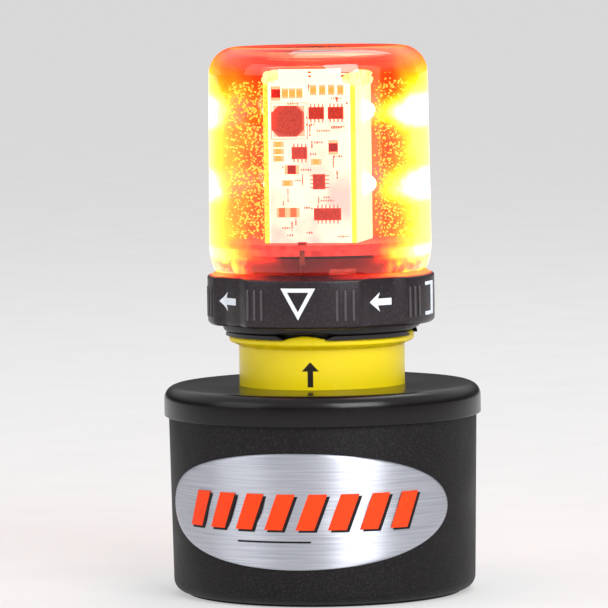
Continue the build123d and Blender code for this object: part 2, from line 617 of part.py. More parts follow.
def cup_seal():
    low, _ = seal_levels()
    return o_ring(CARRIER_RADIUS - SEAL_SECTION + CARRIER_GAP / 2, SEAL_SECTION, low)


def neck_seal():
    _, high = seal_levels()
    return o_ring(NECK_RADIUS - SEAL_SECTION + SHELF_BORE_GAP / 2, SEAL_SECTION, high)


def thrust_washer():
    return ring(SHOULDER_RADIUS - WASHER_GAP, NECK_RADIUS + WASHER_GAP, SHOULDER_TOP_Z, THRUST_TOP_Z)


def retaining_clip():
    """An open ring that snaps into the neck above the head's shelf."""
    clip = ring(NECK_RADIUS + CLIP_REACH, NECK_RADIUS - CLIP_DEPTH, clip_z(), clip_z() + CLIP_THICKNESS)
    across = 2 * NECK_RADIUS * sin(radians(CLIP_OPENING / 2))
    along = 2 * NECK_RADIUS * cos(radians(CLIP_OPENING / 2))
    gap = Polygon((0, 0), (across, along), (-across, along), align=None)
    return clip - Pos(0, 0, clip_z() - 1) * extrude(gap, CLIP_THICKNESS + 2)


def slip_board():
    board = disc(SLIP_BOARD_RADIUS, CARRIER_TOP_Z, SLIP_TOP_Z)
    for sunk in slip_board_screws(SCREW_GAP):
        board -= sunk
    return board


def slip_board_screws(grow=0.0):
    """Countersunk screws, flush with the board; grow gives the holes for them."""
    shank = BOARD_SCREW_RADIUS + grow
    head = BOARD_SCREW_HEAD_RADIUS + grow
    one = turned(
        (0, SLIP_TOP_Z - BOARD_SCREW_LENGTH), (shank, SLIP_TOP_Z - BOARD_SCREW_LENGTH),
        (shank, SLIP_TOP_Z - head + shank), (head, SLIP_TOP_Z), (0, SLIP_TOP_Z),
    )
    return [Pos(side * BOARD_SCREW_OFFSET, 0, 0) * one for side in (-1, 1)]


def slip_track(radius):
    half = TRACK_WIDTH / 2
    return ring(radius + half, radius - half, SLIP_TOP_Z, TRACK_TOP_Z)


# ---------------------------------------------------------------- head: control ring, collar, lens
def lobed_outline():
    """Four wide grip lobes and four recesses, with a lobe's middle facing front, right, rear and left."""
    def at(radius, degrees_round):
        return radius * cos(radians(degrees_round)), radius * sin(radians(degrees_round))

    lines = Curve()
    for i in range(4):
        middle = i * LOBE_PITCH
        start, end = middle - LOBE_HALF_ANGLE, middle + LOBE_HALF_ANGLE
        hollow_start, hollow_end = middle + RECESS_EDGE_ANGLE, middle + LOBE_PITCH - RECESS_EDGE_ANGLE
        lines += ThreePointArc(at(RING_RADIUS, start), at(RING_RADIUS, middle), at(RING_RADIUS, end))
        lines += Line(at(RING_RADIUS, end), at(RECESS_RADIUS, hollow_start))
        lines += ThreePointArc(
            at(RECESS_RADIUS, hollow_start),
            at(RECESS_RADIUS, middle + LOBE_PITCH / 2),
            at(RECESS_RADIUS, hollow_end),
        )
        lines += Line(at(RECESS_RADIUS, hollow_end), at(RING_RADIUS, middle + LOBE_PITCH - LOBE_HALF_ANGLE))
    outline = make_face(lines)
    return fillet(outline.vertices(), LOBE_CORNER_RADIUS)


def control_ring():
    seat = LENS_FOOT_RADIUS + LENS_SEAT_GAP
    crest_z = RING_EDGE_Z + CREST_RISE
    block = Pos(0, 0, RING_BASE_Z) * extrude(lobed_outline(), RING_HEIGHT + CREST_RISE)
    block = fillet(block.edges().group_by(Axis.Z)[0], RING_BASE_RADIUS)
    edge_base = RING_EDGE_Z - RING_EDGE_CHAMFER
    block &= turned(
        (0, RING_BASE_Z - 1), (RING_RADIUS + 1, RING_BASE_Z - 1), (RING_RADIUS + 1, edge_base),
        (RING_RADIUS, edge_base), (RING_RADIUS - RING_EDGE_CHAMFER, RING_EDGE_Z),
        (CREST_RADIUS, RING_EDGE_Z + CREST_STEP), (seat + CREST_LIP, crest_z), (0, crest_z),
    )
    block -= disc(seat, SHELF_TOP_Z, crest_z + 1)
    block -= disc(SHELF_BORE, RING_BASE_Z - 1, SHELF_TOP_Z + 1)
    for middle in range(0, 360, 90):
        for angle in RIB_ANGLES:
            for side in (-1, 1):
                block += Rot(0, 0, middle + side * angle) * rib()
    for x, y, _ in around(HEAD_SCREW_COUNT, HEAD_SCREW_CIRCLE):
        block -= disc(HEAD_SCREW_RADIUS + SCREW_GAP, RING_BASE_Z - 1, SHELF_TOP_Z + 1, x, y)
    return block - switch_magnet()


def rib():
    """One upright grip rib with round ends on a lobe's face at angle 0."""
    outline = SlotOverall(RIB_LENGTH, RIB_WIDTH, rotation=90)
    middle = RING_BASE_Z + RING_HEIGHT / 2
    face = Plane((RING_RADIUS - 1, 0, middle), x_dir=(0, 1, 0), z_dir=(1, 0, 0))
    bar = extrude(face * outline, 1 + RIB_PROUD)
    return fillet(bar.faces().sort_by(Axis.X)[-1].edges(), RIB_PROUD / 2)


def switch_magnet():
    """A small round magnet set across the shelf, facing the carrier's neck."""
    z = SHELF_TOP_Z - SHELF_THICKNESS / 2
    middle = SHELF_BORE + 1 + MAGNET_LENGTH / 2
    return Rot(0, 0, 45) * Pos(middle, 0, z) * Rot(0, 90, 0) * Cylinder(MAGNET_RADIUS / 2, MAGNET_LENGTH)


def ring_collar():
    """The trim ring under the control ring; its four pockets hide the lens screws."""
    low = COLLAR_BASE_Z
    body = turned(
        (COLLAR_BORE, low), (COLLAR_RADIUS - COLLAR_CHAMFER, low), (COLLAR_RADIUS, low + COLLAR_CHAMFER),
        (COLLAR_RADIUS, RING_BASE_Z), (COLLAR_BORE, RING_BASE_Z),
    )
    pocket = HEAD_SCREW_HEAD_RADIUS + SCREW_POCKET_GAP
    for x, y, _ in around(HEAD_SCREW_COUNT, HEAD_SCREW_CIRCLE):
        body -= disc(pocket, RING_BASE_Z - HEAD_SCREW_HEAD, RING_BASE_Z + 1, x, y)
    return body


def lens_screws():
    one = screw(HEAD_SCREW_RADIUS, HEAD_SCREW_LENGTH, HEAD_SCREW_HEAD_RADIUS, HEAD_SCREW_HEAD)
    places = around(HEAD_SCREW_COUNT, HEAD_SCREW_CIRCLE)
    return [Pos(x, y, RING_BASE_Z) * Rot(180, 0, 0) * one for x, y, _ in places]


def lens_gasket():
    gasket = ring(LENS_FOOT_RADIUS, LENS_FOOT_BORE, SHELF_TOP_Z, LENS_BASE_Z)
    for x, y, _ in around(HEAD_SCREW_COUNT, HEAD_SCREW_CIRCLE):
        gasket -= disc(HEAD_SCREW_RADIUS + SCREW_GAP, SHELF_TOP_Z - 1, LENS_BASE_Z + 1, x, y)
    return gasket


def lens():
    """A closed cover: a thick foot, a swelling above the ring, a tapered wall and a flat top."""
    bulge_drop = LENS_BULGE_Z - LENS_NECK_Z
    bulge_out = LENS_BULGE_RADIUS - LENS_FOOT_RADIUS
    swell = (bulge_drop ** 2 + bulge_out ** 2) / (2 * bulge_out)
    corner_z = LENS_TOP_Z - LENS_CORNER_RADIUS
    flat = LENS_UPPER_RADIUS - LENS_CORNER_RADIUS
    outside = Line((0, LENS_BASE_Z), (LENS_FOOT_RADIUS, LENS_BASE_Z))
    outside += Line((LENS_FOOT_RADIUS, LENS_BASE_Z), (LENS_FOOT_RADIUS, LENS_NECK_Z))
    outside += RadiusArc((LENS_FOOT_RADIUS, LENS_NECK_Z), (LENS_BULGE_RADIUS, LENS_BULGE_Z), swell)
    outside += Line((LENS_BULGE_RADIUS, LENS_BULGE_Z), (LENS_UPPER_RADIUS, corner_z))
    outside += RadiusArc((LENS_UPPER_RADIUS, corner_z), (flat, LENS_TOP_Z), -LENS_CORNER_RADIUS)
    outside += Line((flat, LENS_TOP_Z), (0, LENS_TOP_Z))
    outside += Line((0, LENS_TOP_Z), (0, LENS_BASE_Z))
    room_radius = LENS_UPPER_RADIUS - LENS_WALL
    room_top = LENS_TOP_Z - LENS_TOP_WALL
    inner_corner = LENS_CORNER_RADIUS - LENS_WALL
    inside = Line((0, LEDGE_Z), (LENS_BULGE_RADIUS - LENS_WALL, LEDGE_Z))
    inside += Line((LENS_BULGE_RADIUS - LENS_WALL, LEDGE_Z), (room_radius, room_top - inner_corner))
    room_flat = room_radius - inner_corner
    inside += RadiusArc((room_radius, room_top - inner_corner), (room_flat, room_top), -inner_corner)
    inside += Line((room_flat, room_top), (0, room_top))
    inside += Line((0, room_top), (0, LEDGE_Z))
    body = turned_lines(outside) - turned_lines(inside)
    body -= disc(LENS_FOOT_BORE, LENS_BASE_Z - 1, LEDGE_Z + 1)
    tip = RING_BASE_Z + HEAD_SCREW_LENGTH
    for x, y, _ in around(HEAD_SCREW_COUNT, HEAD_SCREW_CIRCLE):
        body -= disc(HEAD_SCREW_RADIUS + SCREW_GAP, LENS_BASE_Z - 1, tip, x, y)
    for x, y, _ in tower_screw_places():
        body -= disc(TOWER_SCREW_RADIUS + SCREW_GAP, TOWER_BASE_Z - TOWER_SCREW_LENGTH, TOWER_BASE_Z, x, y)
    return body


# ---------------------------------------------------------------- head: light tower
def tower_screw_places():
    return around(TOWER_SCREW_COUNT, HEAD_SCREW_CIRCLE, TOWER_SCREW_START)


def tower_base():
    board = disc(LENS_BULGE_RADIUS - LENS_WALL - TOWER_BASE_GAP, LEDGE_Z, TOWER_BASE_Z)
    for x, y, _ in tower_screw_places():
        board -= disc(TOWER_SCREW_RADIUS + SCREW_GAP, LEDGE_Z - 1, TOWER_BASE_Z + 1, x, y)
    return board


def tower_screws():
    one = screw(TOWER_SCREW_RADIUS, TOWER_SCREW_LENGTH, TOWER_SCREW_HEAD_RADIUS, TOWER_SCREW_HEAD)
    return [Pos(x, y, TOWER_BASE_Z) * one for x, y, _ in tower_screw_places()]


def board_brackets():
    """Four small angle brackets that hold the side boards to the tower base."""
    brackets = []
    inner = TOWER_WIDTH / 2 - BOARD_THICKNESS
    thick = BRACKET_THICKNESS
    foot = Pos(-BRACKET_LEG / 2, 0, thick / 2) * Box(BRACKET_LEG, BRACKET_WIDTH, thick)
    leg = Pos(-thick / 2, 0, BRACKET_LEG / 2) * Box(thick, BRACKET_WIDTH, BRACKET_LEG)
    one = foot + leg
    for turn in (0, 180):
        for side in (-1, 1):
            spot = Pos(inner, side * BRACKET_WIDTH, TOWER_BASE_Z)
            brackets.append(Rot(0, 0, turn) * spot * one)
    return brackets


def side_board(side):
    x = side * (TOWER_WIDTH - BOARD_THICKNESS) / 2
    return Pos(x, 0, TOWER_BASE_Z + TOWER_HEIGHT / 2) * Box(BOARD_THICKNESS, TOWER_DEPTH, TOWER_HEIGHT)


def rear_board():
    y = REAR_FACE_Y - BOARD_THICKNESS / 2
    return Pos(0, y, TOWER_BASE_Z + TOWER_HEIGHT / 2) * Box(FRONT_BOARD_WIDTH, BOARD_THICKNESS, TOWER_HEIGHT)


def driver_board():
    y = FRONT_FACE_Y + BOARD_THICKNESS / 2
    board = Pos(0, y, TOWER_BASE_Z + TOWER_HEIGHT / 2) * Box(FRONT_BOARD_WIDTH, BOARD_THICKNESS, TOWER_HEIGHT)
    board += Pos(0, y, TOWER_TOP_Z) * Box(TONGUE_WIDTH, BOARD_THICKNESS, 2 * TONGUE_HEIGHT)
    hole = Pos(0, y, TOWER_TOP_Z + TONGUE_HEIGHT / 2) * Rot(90, 0, 0) * Cylinder(TONGUE_HOLE_RADIUS, 4)
    return board - hole


def led():
    """One emitter: a square package with a silicone dome, its back at the origin, shining along +X."""
    package = Pos(LED_BASE / 2, 0, 0) * Box(LED_BASE, LED_SIZE, LED_SIZE)
    package = chamfer(package.edges().filter_by(Axis.X), 0.6)
    dome = Pos(LED_BASE, 0, 0) * Sphere(LED_DOME_RADIUS)
    keep = Pos(LED_BASE + LED_DOME_RADIUS, 0, 0) * Box(2 * LED_DOME_RADIUS, LED_SIZE, LED_SIZE)
    return package + (dome & keep)


def placed_leds():
    """(node name, solid): two emitters on each side board and two on the rear board."""
    faces = (("right", TOWER_WIDTH / 2, 0), ("rear", REAR_FACE_Y, 90), ("left", TOWER_WIDTH / 2, 180))
    for name, distance, turn in faces:
        for level, height in zip(("lower", "upper"), LED_ROW_HEIGHTS):
            spot = Rot(0, 0, turn) * Pos(distance, 0, TOWER_BASE_Z + height)
            yield f"led_{name}_{level}", spot * led()


def on_driver_board(x, height, turn=0):
    """A place on the driver board's face: local X to the right, local Y up, local Z out of the board."""
    face = Plane((x, FRONT_FACE_Y, TOWER_BASE_Z + height), x_dir=(1, 0, 0), z_dir=(0, -1, 0))
    return face * Rot(0, 0, turn)


def inductor():
    size = INDUCTOR_SIZE
    base = extrude(Rectangle(size, size), INDUCTOR_HEIGHT * 0.15)
    drum = chamfer(extrude(Rectangle(size, size), INDUCTOR_HEIGHT).edges().filter_by(Axis.Z), size * 0.22)
    drum = fillet(drum.faces().sort_by(Axis.Z)[-1].edges(), 0.6)
    return on_driver_board(*INDUCTOR_PLACE) * (base + drum)


def chip(body, turn_place):
    """A small-outline chip: moulded body and two rows of legs that stand on the board."""
    width, height = body
    case = Pos(0, 0, CHIP_STANDOFF + CHIP_HEIGHT / 2) * Box(width, height, CHIP_HEIGHT)
    case = chamfer(case.faces().sort_by(Axis.Z)[-1].edges(), 0.25)
    legs = int((width + 0.2) / LEG_PITCH)
    for i in range(legs):
        x = (i - (legs - 1) / 2) * LEG_PITCH
        for side in (-1, 1):
            y = side * (height + LEG_REACH) / 2
            case += Pos(x, y, LEG_THICKNESS / 2) * Box(LEG_WIDTH, LEG_REACH + 0.1, LEG_THICKNESS)
            case += Pos(x, side * (height / 2 + 0.15), CHIP_HEIGHT / 4) * Box(LEG_WIDTH, 0.3, CHIP_HEIGHT / 2)
    return on_driver_board(*turn_place) * case


def blocks(size, places):
    """Chip capacitors or resistors of one size: a ceramic block with a solder end on each side."""
    width, height, depth = size
    one = Pos(0, 0, depth / 2) * Box(width, height, depth)
    one = chamfer(one.faces().sort_by(Axis.Z)[-1].edges(), min(size) * 0.12)
    return [on_driver_board(*place) * one for place in places]


def brush(radius):
    """A sprung contact under the tower base that rests on its track."""
    low = TRACK_TOP_Z + BRUSH_LIFT
    return disc(BRUSH_WIDTH / 2, low, LEDGE_Z, 0, radius)


# ---------------------------------------------------------------- write the sub-parts
def main():
    os.makedirs("parts", exist_ok=True)
    save("tub", tub())
    save("lid", lid())
    save("lid_gasket", lid_gasket())
    save("lid_screws", lid_screws())
    save("foot_ring", foot_ring())
    save("magnet_pot", magnet_pot())
    save("ring_magnet", ring_magnet())
    save("magnet_bolt", magnet_bolt())
    save("ballast_weight", ballast())
    save("bolt_washer", bolt_washer())
    save("bolt_nut", bolt_nut())
    save("catch_magnet", catch_magnet())
    save("badge_plate", badge())

    save("base_cup", cup())
    save("cup_keeper", cup_keeper())

    save("battery_carrier", battery_carrier())
    for number, placed in enumerate(placed_cells(), 1):
        save(f"cell_{number}", placed)
    save("cell_springs", cell_springs())
    save("carrier_end_cap", end_cap())
    save("cell_links", cell_links())
    save("end_cap_screw", cap_screw())
    save("cup_seal", cup_seal())
    save("neck_seal", neck_seal())
    save("thrust_washer", thrust_washer())
    save("retaining_clip", retaining_clip())
    save("slip_board", slip_board())
    save("slip_board_screws", slip_board_screws())
    save("inner_slip_track", slip_track(INNER_TRACK_RADIUS))
    save("outer_slip_track", slip_track(OUTER_TRACK_RADIUS))

    save("control_ring", control_ring())
    save("ring_collar", ring_collar())
    save("switch_magnet", switch_magnet())
    save("lens_gasket", lens_gasket())
    save("lens_screws", lens_screws())
    save("lens", lens())
    save("tower_base", tower_base())
    save("tower_screws", tower_screws())
    save("board_brackets", board_brackets())
    save("led_board_left", side_board(-1))
    save("led_board_right", side_board(1))
    save("led_board_rear", rear_board())
    save("driver_board", driver_board())
    for name, emitter in placed_leds():
        save(name, emitter)
    save("power_inductor", inductor())
    save("switching_chips", [chip(SO8_BODY, place) for place in SO8_PLACES])
    save("controller_chip", chip(SO14_BODY, SO14_PLACE))
    save("ceramic_capacitors", blocks(CAPACITOR_SIZE, CAPACITOR_PLACES))
    save("tantalum_capacitors", blocks(TANTALUM_SIZE, TANTALUM_PLACES))
    save("sense_resistors", blocks(RESISTOR_SIZE, RESISTOR_PLACES))
    save("inner_brush", brush(INNER_TRACK_RADIUS))
    save("outer_brush", brush(OUTER_TRACK_RADIUS))


main()
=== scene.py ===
"""Finishes the LED safety flare: fine-meshed mouldings, printed marks, a lit red lens, and the studio.

Lengths are millimetres until a mesh is made; the scene itself is in metres. The front is -Y.
"""

import random
from math import atan2, cos, hypot, pi, radians, sin, tan

import bmesh
import bpy
from mathutils import Matrix, Vector


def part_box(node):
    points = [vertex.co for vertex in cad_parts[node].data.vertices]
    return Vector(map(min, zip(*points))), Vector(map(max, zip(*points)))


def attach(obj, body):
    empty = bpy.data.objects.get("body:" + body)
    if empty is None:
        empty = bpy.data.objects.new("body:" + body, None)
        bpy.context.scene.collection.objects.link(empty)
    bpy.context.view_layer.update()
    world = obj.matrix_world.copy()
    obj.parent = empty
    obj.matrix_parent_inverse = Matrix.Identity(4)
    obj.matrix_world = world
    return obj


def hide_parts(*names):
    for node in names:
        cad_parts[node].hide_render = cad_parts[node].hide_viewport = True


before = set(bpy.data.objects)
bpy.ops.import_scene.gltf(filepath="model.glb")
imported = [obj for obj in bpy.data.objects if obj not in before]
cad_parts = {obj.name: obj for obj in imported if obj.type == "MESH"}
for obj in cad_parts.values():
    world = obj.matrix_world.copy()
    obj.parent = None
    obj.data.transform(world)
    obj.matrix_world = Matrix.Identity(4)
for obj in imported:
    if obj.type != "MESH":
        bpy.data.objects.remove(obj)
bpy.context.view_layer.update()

MM = 0.001
FRONT = -pi / 2                 # azimuth of the front, as an angle round Z
RIGHT = 0.0
REAR = pi / 2
LEFT = pi


def size_of(node):
    """A CAD node's lowest and highest corner, in millimetres."""
    low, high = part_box(node)
    return low / MM, high / MM


# ------------ sizes taken from the frame
lens_low, lens_high = size_of("lens")
ring_low, ring_high = size_of("control_ring")
collar_low, collar_high = size_of("ring_collar")
cup_low, cup_high = size_of("base_cup")
lid_low, lid_high = size_of("lid")
tub_low, tub_high = size_of("tub")
foot_high = size_of("foot_ring")[1]
pot_high = size_of("magnet_pot")[1]
badge_low, badge_high = size_of("badge_plate")
board_low, board_high = size_of("driver_board")
tower_low, tower_high = size_of("tower_base")
side_low, side_high = size_of("led_board_right")
neck_top = size_of("battery_carrier")[1].z
CAM_HEIGHT = 1.3                # cams stand this much above the cup's flange
led_levels = [sum(c.z for c in size_of(f"led_right_{row}")) / 2 for row in ("lower", "upper")]


# ------------ mesh tools
SEGMENTS = 192
SHARP = radians(34)


def rounded(*corners, steps=7):
    """A closed outline from (x, y) or (x, y, radius) corners; a radius rounds its corner."""
    points = []
    for i, (x, y, *radius) in enumerate(corners):
        here = Vector((x, y))
        if not radius:
            points.append(here)
            continue
        radius = radius[0]
        back = (Vector(corners[i - 1][:2]) - here).normalized()
        ahead = (Vector(corners[(i + 1) % len(corners)][:2]) - here).normalized()
        half = back.angle(ahead) / 2
        centre = here + (back + ahead).normalized() * radius / sin(half)
        first = here + back * radius / tan(half) - centre
        last = here + ahead * radius / tan(half) - centre
        start = atan2(first.y, first.x)
        sweep = (atan2(last.y, last.x) - start + pi) % (2 * pi) - pi
        for k in range(steps + 1):
            turn = start + sweep * k / steps
            points.append(centre + Vector((cos(turn), sin(turn))) * radius)
    return points


def lathe(profile, segments=SEGMENTS):
    """Turns a closed (radius, height) outline round Z."""
    bm = bmesh.new()
    rings = []
    for radius, z in profile:
        count = segments if radius > 1e-6 else 1
        turns = (2 * pi * i / segments for i in range(count))
        rings.append([bm.verts.new((radius * cos(t), radius * sin(t), z)) for t in turns])
    for low, high in zip(rings, rings[1:] + rings[:1]):
        for i in range(segments):
            j = (i + 1) % segments
            corners = (low[i % len(low)], low[j % len(low)], high[j % len(high)], high[i % len(high)])
            corners = list(dict.fromkeys(corners))
            if len(corners) > 2:
                bm.faces.new(corners)
    return bm


def loops(rows, round_again=True, bm=None):
    """A closed skin over rows of points, each row a closed loop. The last row meets the first, or
    both are filled in."""
    bm = bm or bmesh.new()
    rows = [[bm.verts.new(p) for p in row] for row in rows]
    if not round_again:
        bm.faces.new(rows[0])
        bm.faces.new(rows[-1])
    for row, beyond in zip(rows, rows[1:] + (rows[:1] if round_again else [])):
        for i in range(len(row)):
            j = (i + 1) % len(row)
            bm.faces.new((row[i], row[j], beyond[j], beyond[i]))
    return bm


def swept(section_at, steps=360):
    """A closed skin round Z; its (radius, height) outline changes with the angle."""
    turns = [2 * pi * i / steps for i in range(steps)]
    return loops([[(r * cos(t), r * sin(t), z) for r, z in section_at(t)] for t in turns])


def off_quarter(turn):
    """How far an angle is from the nearest quarter turn."""
    away = turn % (pi / 2)
    return min(away, pi / 2 - away)


def ease(share):
    """Goes smoothly from 0 to 1 as the share does."""
    share = min(1.0, max(0.0, share))
    return share * share * (3 - 2 * share)


def add_box(bm, low, high):
    middle, size = (Vector(low) + Vector(high)) / 2, Vector(high) - Vector(low)
    place = Matrix.Translation(middle) @ Matrix.Diagonal((*size, 1))
    bmesh.ops.create_cube(bm, size=1, matrix=place)


def add_ball(bm, radius, middle, detail):
    place = Matrix.Translation(middle)
    bmesh.ops.create_icosphere(bm, subdivisions=detail, radius=radius, matrix=place)


def printed(outlines, thickness=0.06, step=1.0):
    """Flat outlines (across, up) given a thickness and cut into strips, ready to be bent."""
    bm = bmesh.new()
    for outline in outlines:
        bm.faces.new([bm.verts.new((x, y, 0)) for x, y in outline])
    bmesh.ops.remove_doubles(bm, verts=bm.verts[:], dist=1e-4)
    grown = bmesh.ops.extrude_face_region(bm, geom=bm.faces[:])
    for v in grown["geom"]:
        if isinstance(v, bmesh.types.BMVert):
            v.co.z = thickness
    reach = max(abs(v.co.x) for v in bm.verts)
    for i in range(-int(reach / step), int(reach / step) + 1):
        everything = bm.verts[:] + bm.edges[:] + bm.faces[:]
        bmesh.ops.bisect_plane(bm, geom=everything, plane_co=(i * step, 0, 0), plane_no=(1, 0, 0))
    return bm


def bend(bm, radius_at, azimuth, height):
    """Wraps a flat mesh (across, up, out) round Z at an azimuth and a height."""
    for v in bm.verts:
        z = height + v.co.y
        radius = radius_at(z)
        turn = azimuth + v.co.x / radius
        v.co = ((radius + v.co.z) * cos(turn), (radius + v.co.z) * sin(turn), z)
    return bm


def put(name, data):
    """A new object in the scene."""
    made = bpy.data.objects.new(name, data)
    bpy.context.scene.collection.objects.link(made)
    return made


def put_mesh(name, bm, finish):
    """A new object with that mesh and material."""
    mesh = bpy.data.meshes.new(name)
    bm.to_mesh(mesh)
    bm.free()
    mesh.materials.append(finish)
    return put(name, mesh)


def piece(name, bm, body, finish, replaces=()):
    """Makes the object in metres, smooth but for its sharp edges, riding on its body."""
    bmesh.ops.remove_doubles(bm, verts=bm.verts[:], dist=1e-5)
    bmesh.ops.recalc_face_normals(bm, faces=bm.faces[:])
    bmesh.ops.scale(bm, vec=(MM, MM, MM), verts=bm.verts[:])
    for face in bm.faces:
        face.smooth = True
    for edge in bm.edges:
        edge.smooth = edge.calc_face_angle(0) < SHARP
    made = put_mesh(name, bm, finish)
    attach(made, body)
    if replaces:
        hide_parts(*replaces)


# ------------ material tools
def linear(hex_colour):
    """An sRGB hex colour as linear values."""
    parts = [int(hex_colour[i:i + 2], 16) / 255 for i in (1, 3, 5)]
    parts = [c / 12.92 if c <= 0.04045 else ((c + 0.055) / 1.055) ** 2.4 for c in parts]
    return (*parts, 1.0)


def add(tree, kind, inputs=(), stops=(), **settings):
    """Adds a shader node. A value or a hex colour is set on its input; a node or an output is linked."""
    made = tree.nodes.new("ShaderNode" + kind)
    for name, value in settings.items():
        setattr(made, name, value)
    for i, (place, colour) in enumerate(stops):
        stop = made.color_ramp.elements[i] if i < 2 else made.color_ramp.elements.new(place)
        stop.position, stop.color = place, linear(colour)
    sockets = [s for s in made.inputs if s.enabled]
    for key, value in inputs.items() if isinstance(inputs, dict) else enumerate(inputs):
        socket = sockets[key] if isinstance(key, int) else next(s for s in sockets if s.name == key)
        if isinstance(value, bpy.types.Node):
            value = next(s for s in value.outputs if s.enabled)
        if isinstance(value, bpy.types.NodeSocket):
            tree.links.new(value, socket)
        else:
            socket.default_value = linear(value) if isinstance(value, str) else value
    return made


def material(name):
    """A new empty material, with its tree and the object's own coordinates."""
    made = bpy.data.materials.new(name)
    made.use_nodes = True
    made.node_tree.nodes.clear()
    place = add(made.node_tree, "TexCoord").outputs["Object"]
    return made, made.node_tree, place


def per_mm(size):
    """Texture scale at which one feature is that many millimetres across."""
    return 1 / (size * MM)


# ------------ plastics and rubber
def moulded_plastic(name, colour, worn, roughness, grain, depth, shine=0.5):
    """Injection-moulded plastic. Spark-eroded tooling leaves a grain of that size, which breaks up
    the highlight, and handling leaves duller patches a few centimetres across."""
    made, tree, place = material(name)
    grit = add(tree, "TexNoise", {"Vector": place, "Scale": per_mm(grain), "Detail": 3.0})
    patch = add(tree, "TexNoise", {"Vector": place, "Scale": per_mm(22), "Detail": 2.0})
    speck = add(tree, "MapRange", [grit, 0.52, 0.72, 0.0, 0.5])
    shade = add(tree, "Mix", {"Factor": speck, "A": colour, "B": worn}, data_type="RGBA")
    rough = add(tree, "MapRange", [patch, 0.3, 0.7, roughness * 0.9, roughness * 1.12])
    bump = add(tree, "Bump", {"Height": grit, "Distance": depth * MM, "Strength": 0.6})
    shader = add(tree, "BsdfPrincipled", {
        "Base Color": shade, "Roughness": rough, "Normal": bump, "IOR": 1.53, "Specular IOR Level": shine,
    })
    add(tree, "OutputMaterial", {"Surface": shader})
    return made


RING_PAINTED_GLOW_STOPS = ((0.0, "#000000"), (0.25, "#1c0300"), (0.5, "#b81404"), (0.75, "#ff3a0c"), (1.0, "#ffa43a"))


def ring_nylon(name):
    """The mode ring's black nylon, with a fine tooled grain. Its sloping top sits close to the foot of the
    lens, and beside the emitters it has a painted red and orange glow: painted light from the lens."""
    made, tree, place = material(name)
    grit = add(tree, "TexNoise", {"Vector": place, "Scale": per_mm(0.7), "Detail": 3.0})
    patch = add(tree, "TexNoise", {"Vector": place, "Scale": per_mm(9), "Detail": 2.0})
    speck = add(tree, "MapRange", [grit, 0.5, 0.72, 0.0, 0.6])
    shade = add(tree, "Mix", {"Factor": speck, "A": "#1c1419", "B": "#40343c"}, data_type="RGBA")
    rough = add(tree, "MapRange", [patch, 0.3, 0.7, 0.32, 0.42])
    bump = add(tree, "Bump", {"Height": grit, "Distance": 0.09 * MM, "Strength": 0.6})
    split = add(tree, "SeparateXYZ", [place])
    flat = add(tree, "CombineXYZ", [split.outputs["X"], split.outputs["Y"], 0.0])
    across = add(tree, "VectorMath", [flat], operation="NORMALIZE")
    beside = add(tree, "SeparateXYZ", [across]).outputs["X"]
    beside = add(tree, "Math", [beside], operation="ABSOLUTE")
    beside = add(tree, "MapRange", [beside, 0.2, 0.85, 0.0, 0.9])
    beside = add(tree, "Math", [patch, 0.35, beside], operation="MULTIPLY_ADD")
    # Painted glow: emission on the ring's top at the sides beside the emitters stands in for the lens's
    # light.
    side, crown = (ring_high.z - 2.1) * MM, (ring_high.z - 1.5) * MM
    top = add(tree, "MapRange", [split.outputs["Z"], side, crown])
    catch = add(tree, "Math", [top, beside], operation="MULTIPLY")
    glow = add(tree, "ValToRGB", [catch], stops=RING_PAINTED_GLOW_STOPS)
    shader = add(tree, "BsdfPrincipled", {
        "Base Color": shade, "Roughness": rough, "Normal": bump, "IOR": 1.53, "Specular IOR Level": 0.42,
        "Emission Color": glow, "Emission Strength": 1.0,
    })
    add(tree, "OutputMaterial", {"Surface": shader})
    return made


def polished_plastic(name, colour, dust, roughness, shine=0.5):
    """Mould polished to a gloss: mirror-like, with a faint haze where it has been wiped."""
    made, tree, place = material(name)
    haze = add(tree, "TexNoise", {"Vector": place, "Scale": per_mm(30), "Detail": 4.0})
    fleck = add(tree, "TexNoise", {"Vector": place, "Scale": per_mm(0.9), "Detail": 1.0})
    spots = add(tree, "MapRange", [fleck, 0.7, 0.8, 0.0, 0.16])
    shade = add(tree, "Mix", {"Factor": spots, "A": colour, "B": dust}, data_type="RGBA")
    rough = add(tree, "MapRange", [haze, 0.35, 0.7, roughness, roughness * 1.9])
    ripple = add(tree, "Bump", {"Height": haze, "Distance": 0.1 * MM, "Strength": 0.15})
    shader = add(tree, "BsdfPrincipled", {
        "Base Color": shade, "Roughness": rough, "Normal": ripple, "IOR": 1.53, "Specular IOR Level": shine,
    })
    add(tree, "OutputMaterial", {"Surface": shader})
    return made


def rubber(name, colour):
    """Moulded nitrile rubber: dull, very fine grained, greyer where it has been rubbed."""
    made, tree, place = material(name)
    grit = add(tree, "TexNoise", {"Vector": place, "Scale": per_mm(0.6), "Detail": 2.0})
    shade = add(tree, "Mix", {"Factor": grit, "A": colour, "B": "#3a3838"}, data_type="RGBA")
    bump = add(tree, "Bump", {"Height": grit, "Distance": 0.05 * MM, "Strength": 0.5})
    shader = add(tree, "BsdfPrincipled", {
        "Base Color": shade, "Roughness": 0.82, "Normal": bump, "IOR": 1.52,
    })
    add(tree, "OutputMaterial", {"Surface": shader})
    return made


# ------------ metals and magnets
def plated_metal(name, colour, dull, roughness):
    """Bright plating over steel or brass: clean, with a cloudy bloom some millimetres across."""
    made, tree, place = material(name)
    bloom = add(tree, "TexNoise", {"Vector": place, "Scale": per_mm(5), "Detail": 4.0})
    shade = add(tree, "Mix", {"Factor": bloom, "A": colour, "B": dull}, data_type="RGBA")
    rough = add(tree, "MapRange", [bloom, 0.3, 0.7, roughness * 0.8, roughness * 1.3])
    shader = add(tree, "BsdfPrincipled", {"Base Color": shade, "Roughness": rough, "Metallic": 1.0})
    add(tree, "OutputMaterial", {"Surface": shader})
    return made


